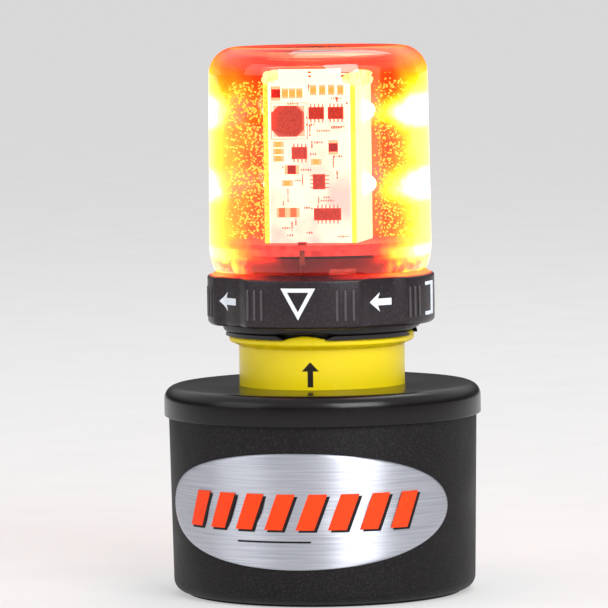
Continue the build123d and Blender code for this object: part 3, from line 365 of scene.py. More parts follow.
def pressed_powder(name, colour, light):
    """Sintered ferrite or cast iron: dark and matte, with a gritty skin."""
    made, tree, place = material(name)
    grit = add(tree, "TexNoise", {"Vector": place, "Scale": per_mm(0.8), "Detail": 5.0})
    shade = add(tree, "Mix", {"Factor": grit, "A": colour, "B": light}, data_type="RGBA")
    bump = add(tree, "Bump", {"Height": grit, "Distance": 0.08 * MM, "Strength": 0.6})
    shader = add(tree, "BsdfPrincipled", {"Base Color": shade, "Roughness": 0.6, "Normal": bump})
    add(tree, "OutputMaterial", {"Surface": shader})
    return made


def brushed_aluminium(name):
    """Aluminium foil on the badge, brushed along its length under clear lacquer. The brush lines are
    about 0.3 mm apart and centimetres long, and they spread each highlight up and down."""
    made, tree, place = material(name)
    split = add(tree, "SeparateXYZ", [place])
    turn = add(tree, "Math", [split.outputs["Y"], split.outputs["X"]], operation="ARCTAN2")
    along = add(tree, "Math", [turn, badge_high.x * MM * 0.02], operation="MULTIPLY")
    streak = add(tree, "CombineXYZ", [along, split.outputs["Z"], 0.0])
    fine = add(tree, "TexNoise", {"Vector": streak, "Scale": per_mm(0.45), "Detail": 4.0})
    tone = add(tree, "MapRange", [fine, 0.3, 0.7])
    shade = add(tree, "Mix", {"Factor": tone, "A": "#c0c4d2", "B": "#e4e7ee"}, data_type="RGBA")
    rough = add(tree, "MapRange", [fine, 0.3, 0.7, 0.4, 0.48])
    bump = add(tree, "Bump", {"Height": fine, "Distance": 0.03 * MM, "Strength": 0.12})
    shader = add(tree, "BsdfPrincipled", {
        "Base Color": shade, "Roughness": rough, "Metallic": 1.0, "Normal": bump,
        "Anisotropic": 0.9, "Anisotropic Rotation": 0.25,
    })
    add(tree, "OutputMaterial", {"Surface": shader})
    return made


def enamel_ink(name, colour, thin, roughness=0.5, shine=0.3):
    """Screen-printed ink: even, a little thin in places, with the weave of the screen just visible."""
    made, tree, place = material(name)
    cover = add(tree, "TexNoise", {"Vector": place, "Scale": per_mm(1.2), "Detail": 3.0})
    thinner = add(tree, "MapRange", [cover, 0.45, 0.8, 0.0, 0.5])
    shade = add(tree, "Mix", {"Factor": thinner, "A": colour, "B": thin}, data_type="RGBA")
    rough = add(tree, "MapRange", [cover, 0.3, 0.7, roughness * 0.85, roughness * 1.2])
    shader = add(tree, "BsdfPrincipled", {
        "Base Color": shade, "Roughness": rough, "IOR": 1.5, "Specular IOR Level": shine,
    })
    add(tree, "OutputMaterial", {"Surface": shader})
    return made


# ------------ lit parts inside the lens
def lit(tree, colour, strength, base="#d8d2c8", roughness=0.6):
    """A surface flooded by the emitters, with their light painted on as a glow: it glows by itself, because
    they are far brighter than the studio."""
    shader = add(tree, "BsdfPrincipled", {
        "Base Color": base, "Roughness": roughness,
        "Emission Color": colour, "Emission Strength": strength,
    })
    add(tree, "OutputMaterial", {"Surface": shader})


def lit_driver_board(name):
    """White solder mask on the front board, brightest near its edges and its top, dimmer and pinker
    low in the middle where the parts shade it."""
    made, tree, place = material(name)
    cloud = add(tree, "TexNoise", {"Vector": place, "Scale": per_mm(11), "Detail": 2.0})
    split = add(tree, "SeparateXYZ", [place])
    rise = add(tree, "MapRange", [split.outputs["Z"], board_low.z * MM, board_high.z * MM])
    dim = add(tree, "MapRange", [cloud, 0.3, 0.62, 0.15, 1.0])
    low = add(tree, "MapRange", [rise, 0.3, 0.9, 1.0, 0.1])
    share = add(tree, "Math", [dim, low], operation="MULTIPLY")
    tone = add(tree, "Mix", {"Factor": share, "A": "#fff2ff", "B": "#e8b4d4"}, data_type="RGBA")
    lit(tree, tone, 12.0)
    return made


def lit_side_board(name):
    """White solder mask flooded by the emitters on it; its cut edges show yellow glass fibre, glowing with
    painted light.
    """
    made, tree, place = material(name)
    face = add(tree, "SeparateXYZ", [add(tree, "TexCoord").outputs["Normal"]])
    edge = add(tree, "Math", [face.outputs["Y"]], operation="ABSOLUTE")
    # Painted glow on the cut edges of the board.
    piped_edge_glow = add(tree, "MapRange", [edge, 0.6, 0.8])
    cloud = add(tree, "TexNoise", {"Vector": place, "Scale": per_mm(8), "Detail": 2.0})
    white = add(tree, "Mix", {"Factor": cloud, "A": "#ffffff", "B": "#fff8e4"}, data_type="RGBA")
    tone = add(tree, "Mix", {"Factor": piped_edge_glow, "A": white, "B": "#fff060"}, data_type="RGBA")
    lit(tree, tone, 9.0)
    return made


def lit_component(name, colour, dark, strength, grain=0.5, legs=False):
    """A moulded or ceramic chip part that takes up most of the light: dull, with a fine grain. Tinned
    legs, low against the board, throw back more of it."""
    made, tree, place = material(name)
    grit = add(tree, "TexNoise", {"Vector": place, "Scale": per_mm(grain), "Detail": 2.0})
    coarse = add(tree, "MapRange", [grit, 0.35, 0.65])
    tone = add(tree, "Mix", {"Factor": coarse, "A": colour, "B": dark}, data_type="RGBA")
    if legs:
        depth = add(tree, "SeparateXYZ", [place]).outputs["Y"]
        leg = add(tree, "MapRange", [depth, (board_low.y - 1.1) * MM, (board_low.y - 0.9) * MM])
        tone = add(tree, "Mix", {"Factor": leg, "A": tone, "B": "#fff0f0"}, data_type="RGBA")
    lit(tree, tone, strength, base="#2a2626")
    return made


def emitter_dome(name):
    """Silicone dome over a red LED chip, far past white to the eye, warmer towards its rim."""
    made, tree, place = material(name)
    spot = add(tree, "TexNoise", {"Vector": place, "Scale": per_mm(4), "Detail": 1.0})
    tone = add(tree, "Mix", {"Factor": spot, "A": "#ffffff", "B": "#fff0c8"}, data_type="RGBA")
    lit(tree, tone, 60.0, base="#ffe8c0", roughness=0.2)
    return made


# ------------ the red lens
LENS_TINT = "#f96550"           # one wall of red polycarbonate
LENS_FOOT_RADIUS = 33.0
GLOW_STOPS = (
    (0.0, "#000000"), (0.1, "#5a0400"), (0.26, "#e42004"), (0.46, "#ff8208"), (0.64, "#ffd804"),
    (0.8, "#fff66a"), (1.0, "#ffffff"),
)
# For each lit side: how many degrees of the wall its skirt of light and its two beams reach.
GLOW_REACH = ((RIGHT, 50, 66), (LEFT, 77, 50), (REAR, 64, 50))
SKIRT_GLOW, BEAM_GLOW, LEDGE_GLOW, EDGE_GLOW = 0.76, 0.4, 0.15, 0.42


def red_polycarbonate(name):
    """Clear red polycarbonate. The wall scatters a little of the light that the emitters throw on it, and
    that light
    is painted on as a glow: white where a beam lands, then yellow, orange and red as it fades. Facets under
    the ledge and the round top edge pipe that light, and it is painted on them as a glow as well."""
    made, tree, place = material(name)
    soft = "SMOOTHSTEP"

    def apart(value, level):
        away = add(tree, "Math", [value, -level], operation="ADD")
        return add(tree, "Math", [away], operation="ABSOLUTE")

    split = add(tree, "SeparateXYZ", [place])
    x, y, z = (split.outputs[axis] for axis in "XYZ")
    turn = add(tree, "Math", [y, x], operation="ARCTAN2")
    cloud = add(tree, "TexNoise", {"Vector": place, "Scale": per_mm(10), "Detail": 3.0})
    ragged = add(tree, "MapRange", [cloud, 0.3, 0.7, radians(-7), radians(7)])

    # Painted glow: where the emitters' light falls on the wall, by angle round the lens.
    skirt, beam = 0.0, 0.0
    for azimuth, reach, spread in GLOW_REACH:
        away = apart(turn, azimuth)
        if azimuth == LEFT:
            away = add(tree, "Math", [away, pi], operation="PINGPONG")
        away = add(tree, "Math", [away, ragged], operation="ADD")
        wide = add(tree, "MapRange", [away, radians(reach), radians(18)])
        wide = add(tree, "Math", [wide, 0.7], operation="POWER")
        near = add(tree, "MapRange", [away, radians(spread), radians(spread - 22)],
                   interpolation_type=soft)
        skirt = add(tree, "Math", [skirt, wide], operation="MAXIMUM")
        beam = add(tree, "Math", [beam, near], operation="MAXIMUM")

    def band(level, half, share):
        seen = add(tree, "MapRange", [apart(z, level * MM), half * MM, 0.5 * MM], interpolation_type=soft)
        return add(tree, "Math", [seen, share], operation="MULTIPLY")

    rows = add(tree, "Math", [band(level, 7.5, beam) for level in led_levels], operation="MAXIMUM")
    glow = add(tree, "Math", [skirt, SKIRT_GLOW], operation="MULTIPLY")
    glow = add(tree, "Math", [rows, BEAM_GLOW, glow], operation="MULTIPLY_ADD")
    ledge = band(tower_low.z - 1.5, 3.5, skirt)
    glow = add(tree, "Math", [ledge, LEDGE_GLOW, glow], operation="MULTIPLY_ADD")
    room = add(tree, "MapRange", [z, (lens_high.z - 1) * MM, (lens_high.z - 15) * MM, 0.4, 1.0])
    glow = add(tree, "Math", [glow, room], operation="MULTIPLY")

    around = add(tree, "Math", [turn, LENS_FOOT_RADIUS * MM], operation="MULTIPLY")
    unrolled = add(tree, "CombineXYZ", [around, z, 0.0])
    flames = add(tree, "TexVoronoi", {"Vector": unrolled, "Scale": per_mm(6.5)}, feature="DISTANCE_TO_EDGE")
    facet = add(tree, "MapRange", [flames, 0.02, 0.26, 0.12, 0.86])
    foot = add(tree, "MapRange", [z, (tower_low.z - 3) * MM, (tower_low.z - 5) * MM])
    lit_side = add(tree, "MapRange", [skirt, 0.45, 0.7])
    facet = add(tree, "Math", [facet, lit_side], operation="MULTIPLY")
    glow = add(tree, "Mix", {"Factor": foot, "A": glow, "B": facet})

    flat = add(tree, "CombineXYZ", [x, y, 0.0])
    radius = add(tree, "VectorMath", [flat], operation="LENGTH").outputs["Value"]
    ring = add(tree, "MapRange", [radius, 24 * MM, 26.5 * MM, 0.0, EDGE_GLOW])
    rim = add(tree, "MapRange", [z, (lens_high.z - 1.0) * MM, (lens_high.z - 0.3) * MM, 0.0, ring])
    glow = add(tree, "Math", [glow, rim], operation="MAXIMUM")
    colour = add(tree, "ValToRGB", [glow], stops=GLOW_STOPS)
    glass = add(tree, "BsdfPrincipled", {
        "Base Color": LENS_TINT, "Roughness": 0.0, "IOR": 1.58, "Transmission Weight": 1.0,
        "Emission Color": colour, "Emission Strength": 1.0,
    })
    lamps = add(tree, "BsdfTransparent", [LENS_TINT])
    shadow = add(tree, "LightPath").outputs["Is Shadow Ray"]
    shader = add(tree, "MixShader", [shadow, glass, lamps])
    add(tree, "OutputMaterial", {"Surface": shader})
    return made


# ------------ finishes
BLACK_ABS = moulded_plastic("textured_black_abs", "#0c090b", "#403c3e", 0.52, 0.5, 0.16, 0.25)
LID_ABS = moulded_plastic("satin_black_abs", "#0d090b", "#1e1a1d", 0.22, 0.5, 0.03, 0.3)
SATIN_BLACK = moulded_plastic("satin_black_nylon", "#1a1618", "#332d31", 0.36, 0.7, 0.08, 0.42)
RING_NYLON = ring_nylon("tooled_black_nylon_with_painted_glow")
# The ribs' nylon is lighter than the ring's: a painted highlight along the ribs.
RIB_HIGHLIGHT_NYLON = moulded_plastic("black_nylon_painted_highlight", "#4a4448", "#5c565a", 0.3, 0.7, 0.05)
YELLOW_ABS = polished_plastic("polished_yellow_abs", "#ffe40e", "#fff080", 0.22, 0.35)
CARRIER_GREY = moulded_plastic("satin_dark_nylon", "#100e10", "#1c1a1c", 0.5, 0.8, 0.05, 0.25)
SLEEVE_GREY = moulded_plastic("satin_grey_acetal", "#7a747c", "#8c868e", 0.4, 0.8, 0.05)
BADGE_METAL = brushed_aluminium("brushed_aluminium")
BADGE_ORANGE = enamel_ink("orange_enamel", "#ff3e00", "#ff5206")
BADGE_SHADOW = enamel_ink("black_enamel", "#100c0e", "#221e20")
WHITE_INK = enamel_ink("white_marking_ink", "#e6ecf4", "#cfd6e0", 0.45)
BLACK_INK = enamel_ink("black_marking_ink", "#1c1410", "#30261e", 0.45)
FOOT_RUBBER = rubber("nitrile_rubber", "#161515")
FOAM = rubber("closed_cell_foam", "#1d1c1c")
ZINC = plated_metal("zinc_plated_steel", "#c6c8cb", "#a2a4a6", 0.3)
NICKEL = plated_metal("nickel_plate", "#cfc9bd", "#b4ac9e", 0.22)
GOLD = plated_metal("gold_plated_copper", "#e2b35a", "#c08f3c", 0.25)
FERRITE = pressed_powder("sintered_ferrite", "#2b2a2c", "#454347")
IRON = pressed_powder("cast_iron", "#4a4745", "#625e5a")
CELL_SLEEVE = polished_plastic("printed_cell_sleeve", "#2c2d31", "#77797f", 0.25)
WASHER_WHITE = polished_plastic("acetal", "#e8e6e0", "#ffffff", 0.35)
GREEN_MASK = polished_plastic("green_solder_mask", "#0f5a2c", "#2f8a4c", 0.25)
RED_LENS = red_polycarbonate("red_polycarbonate")
DRIVER_WHITE = lit_driver_board("lit_white_solder_mask")
SIDE_WHITE = lit_side_board("lit_board_with_glass_fibre_edge")
INDUCTOR_GREY = lit_component("lit_moulded_ferrite", "#66646a", "#544e56", 6.0, legs=True)
CHIP_BLACK = lit_component("lit_chip_moulding", "#8c6e70", "#74585c", 3.2, legs=True)
CAPACITOR_TAN = lit_component("lit_ceramic", "#fff08c", "#ffd880", 5.4)
CAPACITOR_ORANGE = lit_component("lit_tantalum_moulding", "#ffdaaa", "#ffc898", 2.5)
RESISTOR_BLACK = lit_component("lit_resistor_glaze", "#e080a0", "#c86a80", 0.7, 0.4)
TOWER_PINK = lit_component("lit_tower_base_mask", "#f0a8b0", "#c06878", 1.6, 3.0)
SOLDER = lit_component("lit_solder", "#fff4e0", "#f4d8c8", 6.5, 0.4)
LEGEND = lit_component("lit_board_legend", "#ff9890", "#e88078", 1.8)
BUBBLE = lit_component("lit_sealant_bubbles", "#ffec70", "#ffdc50", 8.0, 1.0)
SEALANT = lit_component("lit_silicone_sealant", "#fffef0", "#fff0a0", 9.0, 1.5)
EMITTER = emitter_dome("lit_silicone_dome")
for spread in (BUBBLE, LEGEND, SEALANT):
    spread.cycles.emission_sampling = "NONE"

CAD_FINISHES = {
    FOAM: ["lid_gasket"],
    FOOT_RUBBER: ["foot_ring", "cup_seal", "neck_seal", "lens_gasket"],
    ZINC: ["lid_screws", "magnet_pot", "magnet_bolt", "bolt_washer", "bolt_nut", "cup_keeper",
           "end_cap_screw", "retaining_clip", "slip_board_screws", "lens_screws"],
    NICKEL: ["catch_magnet", "cell_springs", "cell_links", "switch_magnet"],
    GOLD: ["inner_slip_track", "outer_slip_track", "inner_brush", "outer_brush", "board_brackets"],
    FERRITE: ["ring_magnet"],
    IRON: ["ballast_weight"],
    CARRIER_GREY: ["battery_carrier", "carrier_end_cap"],
    CELL_SLEEVE: ["cell_1", "cell_2", "cell_3", "cell_4"],
    WASHER_WHITE: ["thrust_washer"],
    GREEN_MASK: ["slip_board"],
    TOWER_PINK: ["tower_base"],
    SLEEVE_GREY: ["tower_screws"],
    DRIVER_WHITE: ["driver_board", "led_board_rear"],
    SIDE_WHITE: ["led_board_left", "led_board_right"],
    INDUCTOR_GREY: ["power_inductor"],
    CHIP_BLACK: ["switching_chips", "controller_chip"],
    CAPACITOR_TAN: ["ceramic_capacitors"],
    CAPACITOR_ORANGE: ["tantalum_capacitors"],
    RESISTOR_BLACK: ["sense_resistors"],
    EMITTER: [f"led_{side}_{row}" for side in ("left", "right", "rear") for row in ("lower", "upper")],
}


def dress_cad_nodes():
    for finish, nodes in CAD_FINISHES.items():
        for name in nodes:
            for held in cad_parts[name].material_slots:
                held.material = finish


# ------------ stand
RIM_RADIUS = 50.4               # tub outside, at its rim
BASE_RADIUS = 49.3              # tub outside, at its base
CUP_RADIUS = 27.05              # the cup's plain wall, which the socket in the lid is made to


def tub_radius(z):
    """Outside of the tub, which widens a little to its rim."""
    return BASE_RADIUS + (RIM_RADIUS - BASE_RADIUS) * (z - tub_low.z) / (tub_high.z - tub_low.z)


def make_tub():
    recess, foot_inner, wall = pot_high.x + 0.2, 34.5, 3.0
    outline = rounded(
        (0, pot_high.z), (recess, pot_high.z), (recess, tub_low.z, 0.3), (foot_inner, tub_low.z),
        (foot_inner, foot_high.z), (foot_high.x, foot_high.z), (foot_high.x, tub_low.z),
        (BASE_RADIUS, tub_low.z, 3.9), (RIM_RADIUS, tub_high.z, 0.4), (RIM_RADIUS - wall, tub_high.z),
        (BASE_RADIUS - wall, pot_high.z + wall), (0, pot_high.z + wall),
    )
    piece("stand_tub", lathe(outline), "stand", BLACK_ABS, ["tub"])


def make_lid():
    clearance, wall, shoulder = 0.15, 2.5, 4.2
    skirt_base, plate_under, floor_top = lid_high.z - 9.8, tub_high.z + 1.5, lid_low.z + 4
    skirt_inner, well = RIM_RADIUS + clearance, CUP_RADIUS + clearance
    outline = rounded(
        (0, cup_low.z), (well, cup_low.z, 0.5), (well, lid_high.z, 0.5), (lid_high.x, lid_high.z, shoulder),
        (lid_high.x, skirt_base, 0.35), (skirt_inner, skirt_base), (skirt_inner, plate_under),
        (well + wall, plate_under), (well + wall, floor_top), (0, floor_top),
    )
    piece("stand_lid", lathe(outline), "stand", LID_ABS, ["lid"])


BADGE_HALF_LENGTH = 54.9
BADGE_HALF_HEIGHT = 18.7
BADGE_THICKNESS = 0.85
BADGE_CENTRE = (badge_low.z + badge_high.z) / 2


def make_badge():
    """An oval plate with a rolled edge, bent round the tub."""
    rings = [(0.03, 1), (0.3, 1), (0.55, 1), (0.75, 1), (0.9, 1), (0.965, 1), (0.978, 0.92), (0.988, 0.75),
             (0.996, 0.5), (1.0, 0.15), (1.0, 0.06), (0.5, 0.06), (0.03, 0.06)]
    turns = [2 * pi * i / 200 for i in range(200)]
    rows = [[(BADGE_HALF_LENGTH * share * cos(t), BADGE_HALF_HEIGHT * share * sin(t), BADGE_THICKNESS * rise)
             for t in turns] for share, rise in rings]
    bm = loops(rows, round_again=False)
    piece("badge", bend(bm, tub_radius, FRONT, BADGE_CENTRE), "stand", BADGE_METAL,
          ["badge_plate"])


def slanted_bar(x, width, height, lean):
    """A bar's outline; its top stands that much right of its middle, and its foot left of it."""
    return [(x - width / 2 - lean, -height / 2), (x + width / 2 - lean, -height / 2),
            (x + width / 2 + lean, height / 2), (x - width / 2 + lean, height / 2)]


def make_badge_bars():
    """A row of slanted hazard bars, each with a black shadow down to its right, and a rule below."""
    count, pitch, width, height, lean = 8, 10.4, 6.0, 11.5, 2.2
    film = 0.03
    bars = [slanted_bar((i - (count - 1) / 2) * pitch, width, height, lean) for i in range(count)]
    for name, outlines, thickness, sunk, across, down, ink in (
        ("badge_bars", bars, 0.05, 0, 0, 0, BADGE_ORANGE),
        ("badge_bar_shadows", bars, film, film, 0.9, 0.7, BADGE_SHADOW),
        ("badge_rule", [slanted_bar(0, 25, 0.6, 0)], film, film, -7.5, 9.6, BADGE_SHADOW),
    ):
        bm = bend(printed(outlines, thickness), lambda z: tub_radius(z) + BADGE_THICKNESS + film - sunk,
                  FRONT + across / RIM_RADIUS, BADGE_CENTRE - down)
        piece(name, bm, "stand", ink)


# ------------ cup
CAM_HALF = 0.33                 # half of a cam's length, as an angle round the flange


def make_cup():
    """The cup with its rolled flange; four smooth humps rise on the flange."""
    wall, top, lip = 2.0, cup_high.z - CAM_HEIGHT, cup_high.x
    flange_root, flange_edge = top - 3.2, top - 1.9
    cam_root, cam_rise, cam_inner = 0.8, 1.25, 28.4
    bore, floor_top = CUP_RADIUS - wall, cup_low.z + wall
    outline = rounded(
        (0, cup_low.z), (CUP_RADIUS, cup_low.z, 0.8), (CUP_RADIUS, flange_root, 0.8), (lip, flange_edge, 0.9),
        (lip, top, 0.75), (bore, top, 0.2), (bore, floor_top), (0, floor_top),
    )
    bm = lathe(outline)
    bmesh.ops.remove_doubles(bm, verts=bm.verts[:], dist=1e-5)
    for v in bm.verts:
        if v.co.z > top - cam_root and hypot(v.co.x, v.co.y) > cam_inner:
            turn = off_quarter(atan2(v.co.y, v.co.x)) / CAM_HALF
            if turn < 1:
                share = min(1.0, (v.co.z - top + cam_root) / cam_root)
                v.co.z += cam_rise * share * (0.5 + 0.5 * cos(pi * turn))
    piece("yellow_cup", bm, "cup", YELLOW_ABS, ["base_cup"])


def make_cup_arrow():
    """Upright black arrow on the cup's front, pointing at the mode ring."""
    head, shaft, tip, barb = 2.8, 0.9, 4.05, 1.05
    left = [(-head, barb), (-shaft, barb), (-shaft, -tip)]
    outline = [(0, tip)] + left + [(-x, y) for x, y in reversed(left)]
    bm = bend(printed([outline]), lambda z: CUP_RADIUS, FRONT + radians(2.4), lid_high.z + 5.0)
    piece("cup_arrow", bm, "cup", BLACK_INK)


# ------------ head: ring and collar
LOBE_RADIUS = ring_high.x - 0.45
HOLLOW_RADIUS = 34.9
LIP_RADIUS = 33.5               # inner edge of the lip round the lens
LIP_RISE, TOP_RISE = 1.1, 0.8
RING_EDGE = ring_high.z - LIP_RISE - TOP_RISE


def ring_radius(turn):
    """Outside of the mode ring: four wide lobes that blend into four hollows."""
    lobe_end, blend = radians(29.2), radians(10)
    return LOBE_RADIUS + (HOLLOW_RADIUS - LOBE_RADIUS) * ease((off_quarter(turn) - lobe_end) / blend)


def ring_top(radius):
    """Height of the ring's upper face, which slopes up to a thin lip round the lens."""
    if radius > HOLLOW_RADIUS:
        crest = LOBE_RADIUS - 0.6
        return RING_EDGE + TOP_RISE * (crest - radius) / (crest - HOLLOW_RADIUS)
    return RING_EDGE + TOP_RISE + LIP_RISE * (HOLLOW_RADIUS - radius) / (HOLLOW_RADIUS - LIP_RADIUS)


def make_mode_ring():
    shelf_bore, seat, shelf_top = 24.3, 33.1, ring_low.z + 3.0
    round_base, round_edge = 1.6, 0.7

    def section(turn):
        out = ring_radius(turn)
        edge = ring_top(out - round_edge)
        outline = [(shelf_bore, ring_low.z), (out - round_base - 1, ring_low.z)]
        for k in range(6):
            a = pi / 2 * k / 5
            outline.append((out - round_base * (1 - sin(a)), ring_low.z + round_base * (1 - cos(a))))
        outline.append((out, (ring_low.z + edge) / 2))
        for k in range(5):
            a = pi / 2 * k / 4
            outline.append((out - round_edge * (1 - cos(a)), edge - round_edge * (1 - sin(a))))
        for k in range(1, 6):
            r = out - round_edge + (LIP_RADIUS - out + round_edge) * k / 5
            outline.append((r, ring_top(r)))
        return outline + [(seat, ring_top(LIP_RADIUS)), (seat, shelf_top), (shelf_bore, shelf_top)]

    piece("mode_ring", swept(section, 720), "head", RING_NYLON, ["control_ring"])


RIB_ANGLES = (19.5, 23.7, 27.9)
MARK_SHIFT = radians(1.2)       # marks and ribs sit this much round from the lobes' middles


def make_grip_ribs():
    """Three thin upright ribs with round ends near each end of every lobe."""
    bm = bmesh.new()
    half_width, half_length, proud, sunk, steps = 0.42, 5.0, 0.42, 0.3, 5
    middle = (ring_low.z + RING_EDGE) / 2 - 0.2
    outline = []
    for side in (1, -1):
        for k in range(steps + 1):
            a = pi * k / steps
            end = half_length - half_width + half_width * sin(a)
            outline.append((half_width * cos(a) * side, end * side))
    for angle in [90 * lobe + side * rib for lobe in range(4) for rib in RIB_ANGLES for side in (-1, 1)]:
        turn = radians(angle) - MARK_SHIFT
        out = ring_radius(turn)
        rows = []
        for lift, shrink in ((-sunk, 1), (proud * 0.55, 1), (proud * 0.9, 0.75), (proud, 0.4)):
            inset = (1 - shrink) * half_width
            rows.append([(
                (out + lift) * cos(turn) - x * shrink * sin(turn),
                (out + lift) * sin(turn) + x * shrink * cos(turn),
                middle + z - (inset if z > 0 else -inset),
            ) for x, z in outline])
        loops(rows, round_again=False, bm=bm)
    piece("grip_ribs", bm, "head", RIB_HIGHLIGHT_NYLON)


def make_collar():
    """The collar under the ring. Its lower edge arches up a little over each of the cup's cams."""
    bore, edge, rounding = 28.5, collar_high.x - 0.45, 1.0
    arch_rise, arch_half = 0.65, radians(24)

    def section(turn):
        away = off_quarter(turn) / arch_half
        low = collar_low.z + arch_rise * max(0.0, 1 - away * away) ** 2
        return rounded((bore, low), (edge, low, rounding), (edge, collar_high.z), (bore, collar_high.z))

    piece("trim_collar", swept(section), "head", SATIN_BLACK, ["ring_collar"])


# ------------ head: printed marks
MARK_LEVEL = ring_low.z + 8.3


def triangle_mark():
    """An open triangle standing on its point."""
    half, height, stroke = 5.7, 10.2, 1.3
    outer = [Vector((-half, height / 2)), Vector((half, height / 2)), Vector((0, -height / 2))]
    centre = Vector((0, height / 6))
    shrink = 1 - stroke / (height / 3)
    inner = [centre + (p - centre) * shrink for p in outer]
    return [[outer[i], outer[(i + 1) % 3], inner[(i + 1) % 3], inner[i]] for i in range(3)]


def arrow_mark():
    """A short fat arrow that points to the viewer's left."""
    tip, barb, neck, head, shaft = 4.3, 0.4, 1.1, 3.1, 1.1
    low = [(-barb, -head), (-neck, -shaft), (tip, -shaft)]
    return [[(-tip, 0)] + low + [(x, -y) for x, y in reversed(low)]]


def bracket_mark(side):
    """A square bracket; its arms point to that side."""
    height, width, arm, bar = 10.8, 8.2, 1.15, 3.0
    outer, inner = height / 2, height / 2 - arm
    half = [(0, outer), (width, outer), (width, inner), (bar, inner)]
    outline = half + [(x, -y) for x, y in reversed(half)]
    return [[(side * (x - width / 2), y) for x, y in outline]]


def disc_mark():
    """A plain filled disc."""
    radius, sides = 3.6, 28
    return [[(radius * cos(2 * pi * i / sides), radius * sin(2 * pi * i / sides)) for i in range(sides)]]


def make_ring_marks():
    for name, outlines, azimuth in (
        ("mark_triangle", triangle_mark(), FRONT), ("mark_right", bracket_mark(-1), RIGHT - radians(6.5)),
        ("mark_disc", disc_mark(), REAR), ("mark_left", bracket_mark(1), LEFT - radians(4)),
        ("arrow_front_right", arrow_mark(), radians(-45)), ("arrow_rear_right", arrow_mark(), radians(45)),
        ("arrow_rear_left", arrow_mark(), radians(135)), ("arrow_front_left", arrow_mark(), radians(-137.5)),
    ):
        radius = HOLLOW_RADIUS if name.startswith("arrow") else LOBE_RADIUS
        bm = bend(printed(outlines), lambda z: radius, azimuth - MARK_SHIFT, MARK_LEVEL)
        for v in bm.verts:
            out = hypot(v.co.x, v.co.y)
            grown = (out - radius + ring_radius(atan2(v.co.y, v.co.x))) / out
            v.co.x, v.co.y = v.co.x * grown, v.co.y * grown
        piece(name, bm, "head", WHITE_INK)


# ------------ head: lens
WALL = 3.5
CROWN = 3.0                     # the lens is this thick on top


def swell(low, high, steps=10):
    """The lens outline between its foot and its widest level: an arc that leaves the foot sloping."""
    (r0, z0), (r1, z1) = low, high
    turns = [pi / 2 * i / steps for i in range(steps + 1)]
    return [(r0 + (r1 - r0) * sin(a), z1 - (z1 - z0) * cos(a)) for a in turns]


def make_lens():
    foot, foot_bore = LENS_FOOT_RADIUS, 28.6
    bulge, bulge_z, neck_z = lens_high.x, 114.2, 104.6
    upper, corner, inner_corner = 35.5, 9.0, 5.5
    ledge, top, room = tower_low.z, lens_high.z, upper - WALL
    roof = top - CROWN
    draft = 0.06                # the corners stand this much outside the drafted walls
    outline = [(foot_bore, lens_low.z), (foot, lens_low.z)]
    outline += swell((foot, neck_z), (bulge, bulge_z))
    outline += rounded((bulge, bulge_z), (upper + draft, top, corner), (0, top), steps=18)[1:-1]
    outline += [(0, top), (0, roof)]
    outline += rounded((0, roof), (room + draft, roof, inner_corner), (bulge - WALL, ledge), steps=12)[1:-1]
    outline += [(bulge - WALL, ledge), (foot_bore, ledge)]
    piece("red_lens", lathe(outline, 256), "head", RED_LENS, ["lens"])


def make_bubbles():
    """Small bubbles caught in the sealant film on the inside of the lens, thickest beside the tower."""
    random.seed(7)
    bm = bmesh.new()
    room = lens_high.x - WALL - 0.9
    low, high = tower_high.z + 2, lens_high.z - 11
    # Each patch, in degrees round the lens, runs from its thin end to its thick one.
    patches = ((-145, -109, 780), (150, 112, 300), (-14, -47, 420), (30, 60, 220))
    for thin, thick, count in patches:
        for _ in range(count):
            turn = radians(thin + (thick - thin) * random.random() ** 0.55)
            size = random.uniform(0.16, 0.42)
            spot = (room * cos(turn), room * sin(turn), random.uniform(low, high))
            add_ball(bm, size, spot, 1)
    piece("sealant_bubbles", bm, "head", BUBBLE)


def make_tower_skirt():
    """The skirt under the tower base, just over the carrier's neck; it glows pink with painted light from the
    emitters.
    """
    low, high, bore, outer = neck_top + 0.4, tower_low.z, 25.6, 26.6
    bm = lathe(rounded((bore, low), (outer, low, 0.3), (outer, high), (bore, high)))
    piece("tower_skirt", bm, "head", TOWER_PINK)


def make_sealant():
    """Lumps of silicone along the top of each side board, where it was run in to hold the tower."""
    random.seed(3)
    bm = bmesh.new()
    lumps = 34
    for side in (-1, 1):
        x = side * (side_high.x - 0.8)
        for i in range(lumps):
            along = side_low.y + (side_high.y - side_low.y) * i / (lumps - 1)
            size = random.uniform(0.7, 1.7)
            spot = (x + random.uniform(-2.2, 1.4) * side, along + random.uniform(-0.5, 0.5),
                    side_high.z + random.uniform(-2.0, 1.0))
            add_ball(bm, size, spot, 2)
    for v in bm.verts:
        v.co += Vector([random.uniform(-0.12, 0.12) for _ in range(3)])
    piece("silicone_sealant", bm, "head", SEALANT)


def make_shoulder_band():
    """The wavy black band on the carrier's shoulder that fits between the cup's cams."""
    inner, outer = collar_high.x - 5, collar_high.x - 1.25
    foot = cup_high.z - CAM_HEIGHT
    strip, film = 0.6, 0.05     # width and height of what runs on under a cam
    rise_end, rise_length = radians(33.5), radians(7)

    def section(turn):
        arch = ease((rise_end - abs(turn % (pi / 2) - pi / 4)) / rise_length)
        crest = foot + film + (CAM_HEIGHT - film) * arch
        reach = inner + strip + (outer - inner - strip) * min(1.0, arch * 12)
        return [(inner, foot + 0.02), (reach - 0.1, foot + 0.02), (reach, crest - 0.02),
                (reach - 0.3, crest + 0.1), (inner, crest + 0.1)]

    piece("shoulder_band", swept(section), "carrier", SATIN_BLACK)


NECK_RADIUS, NECK_FOOT = 24.06, 93.0


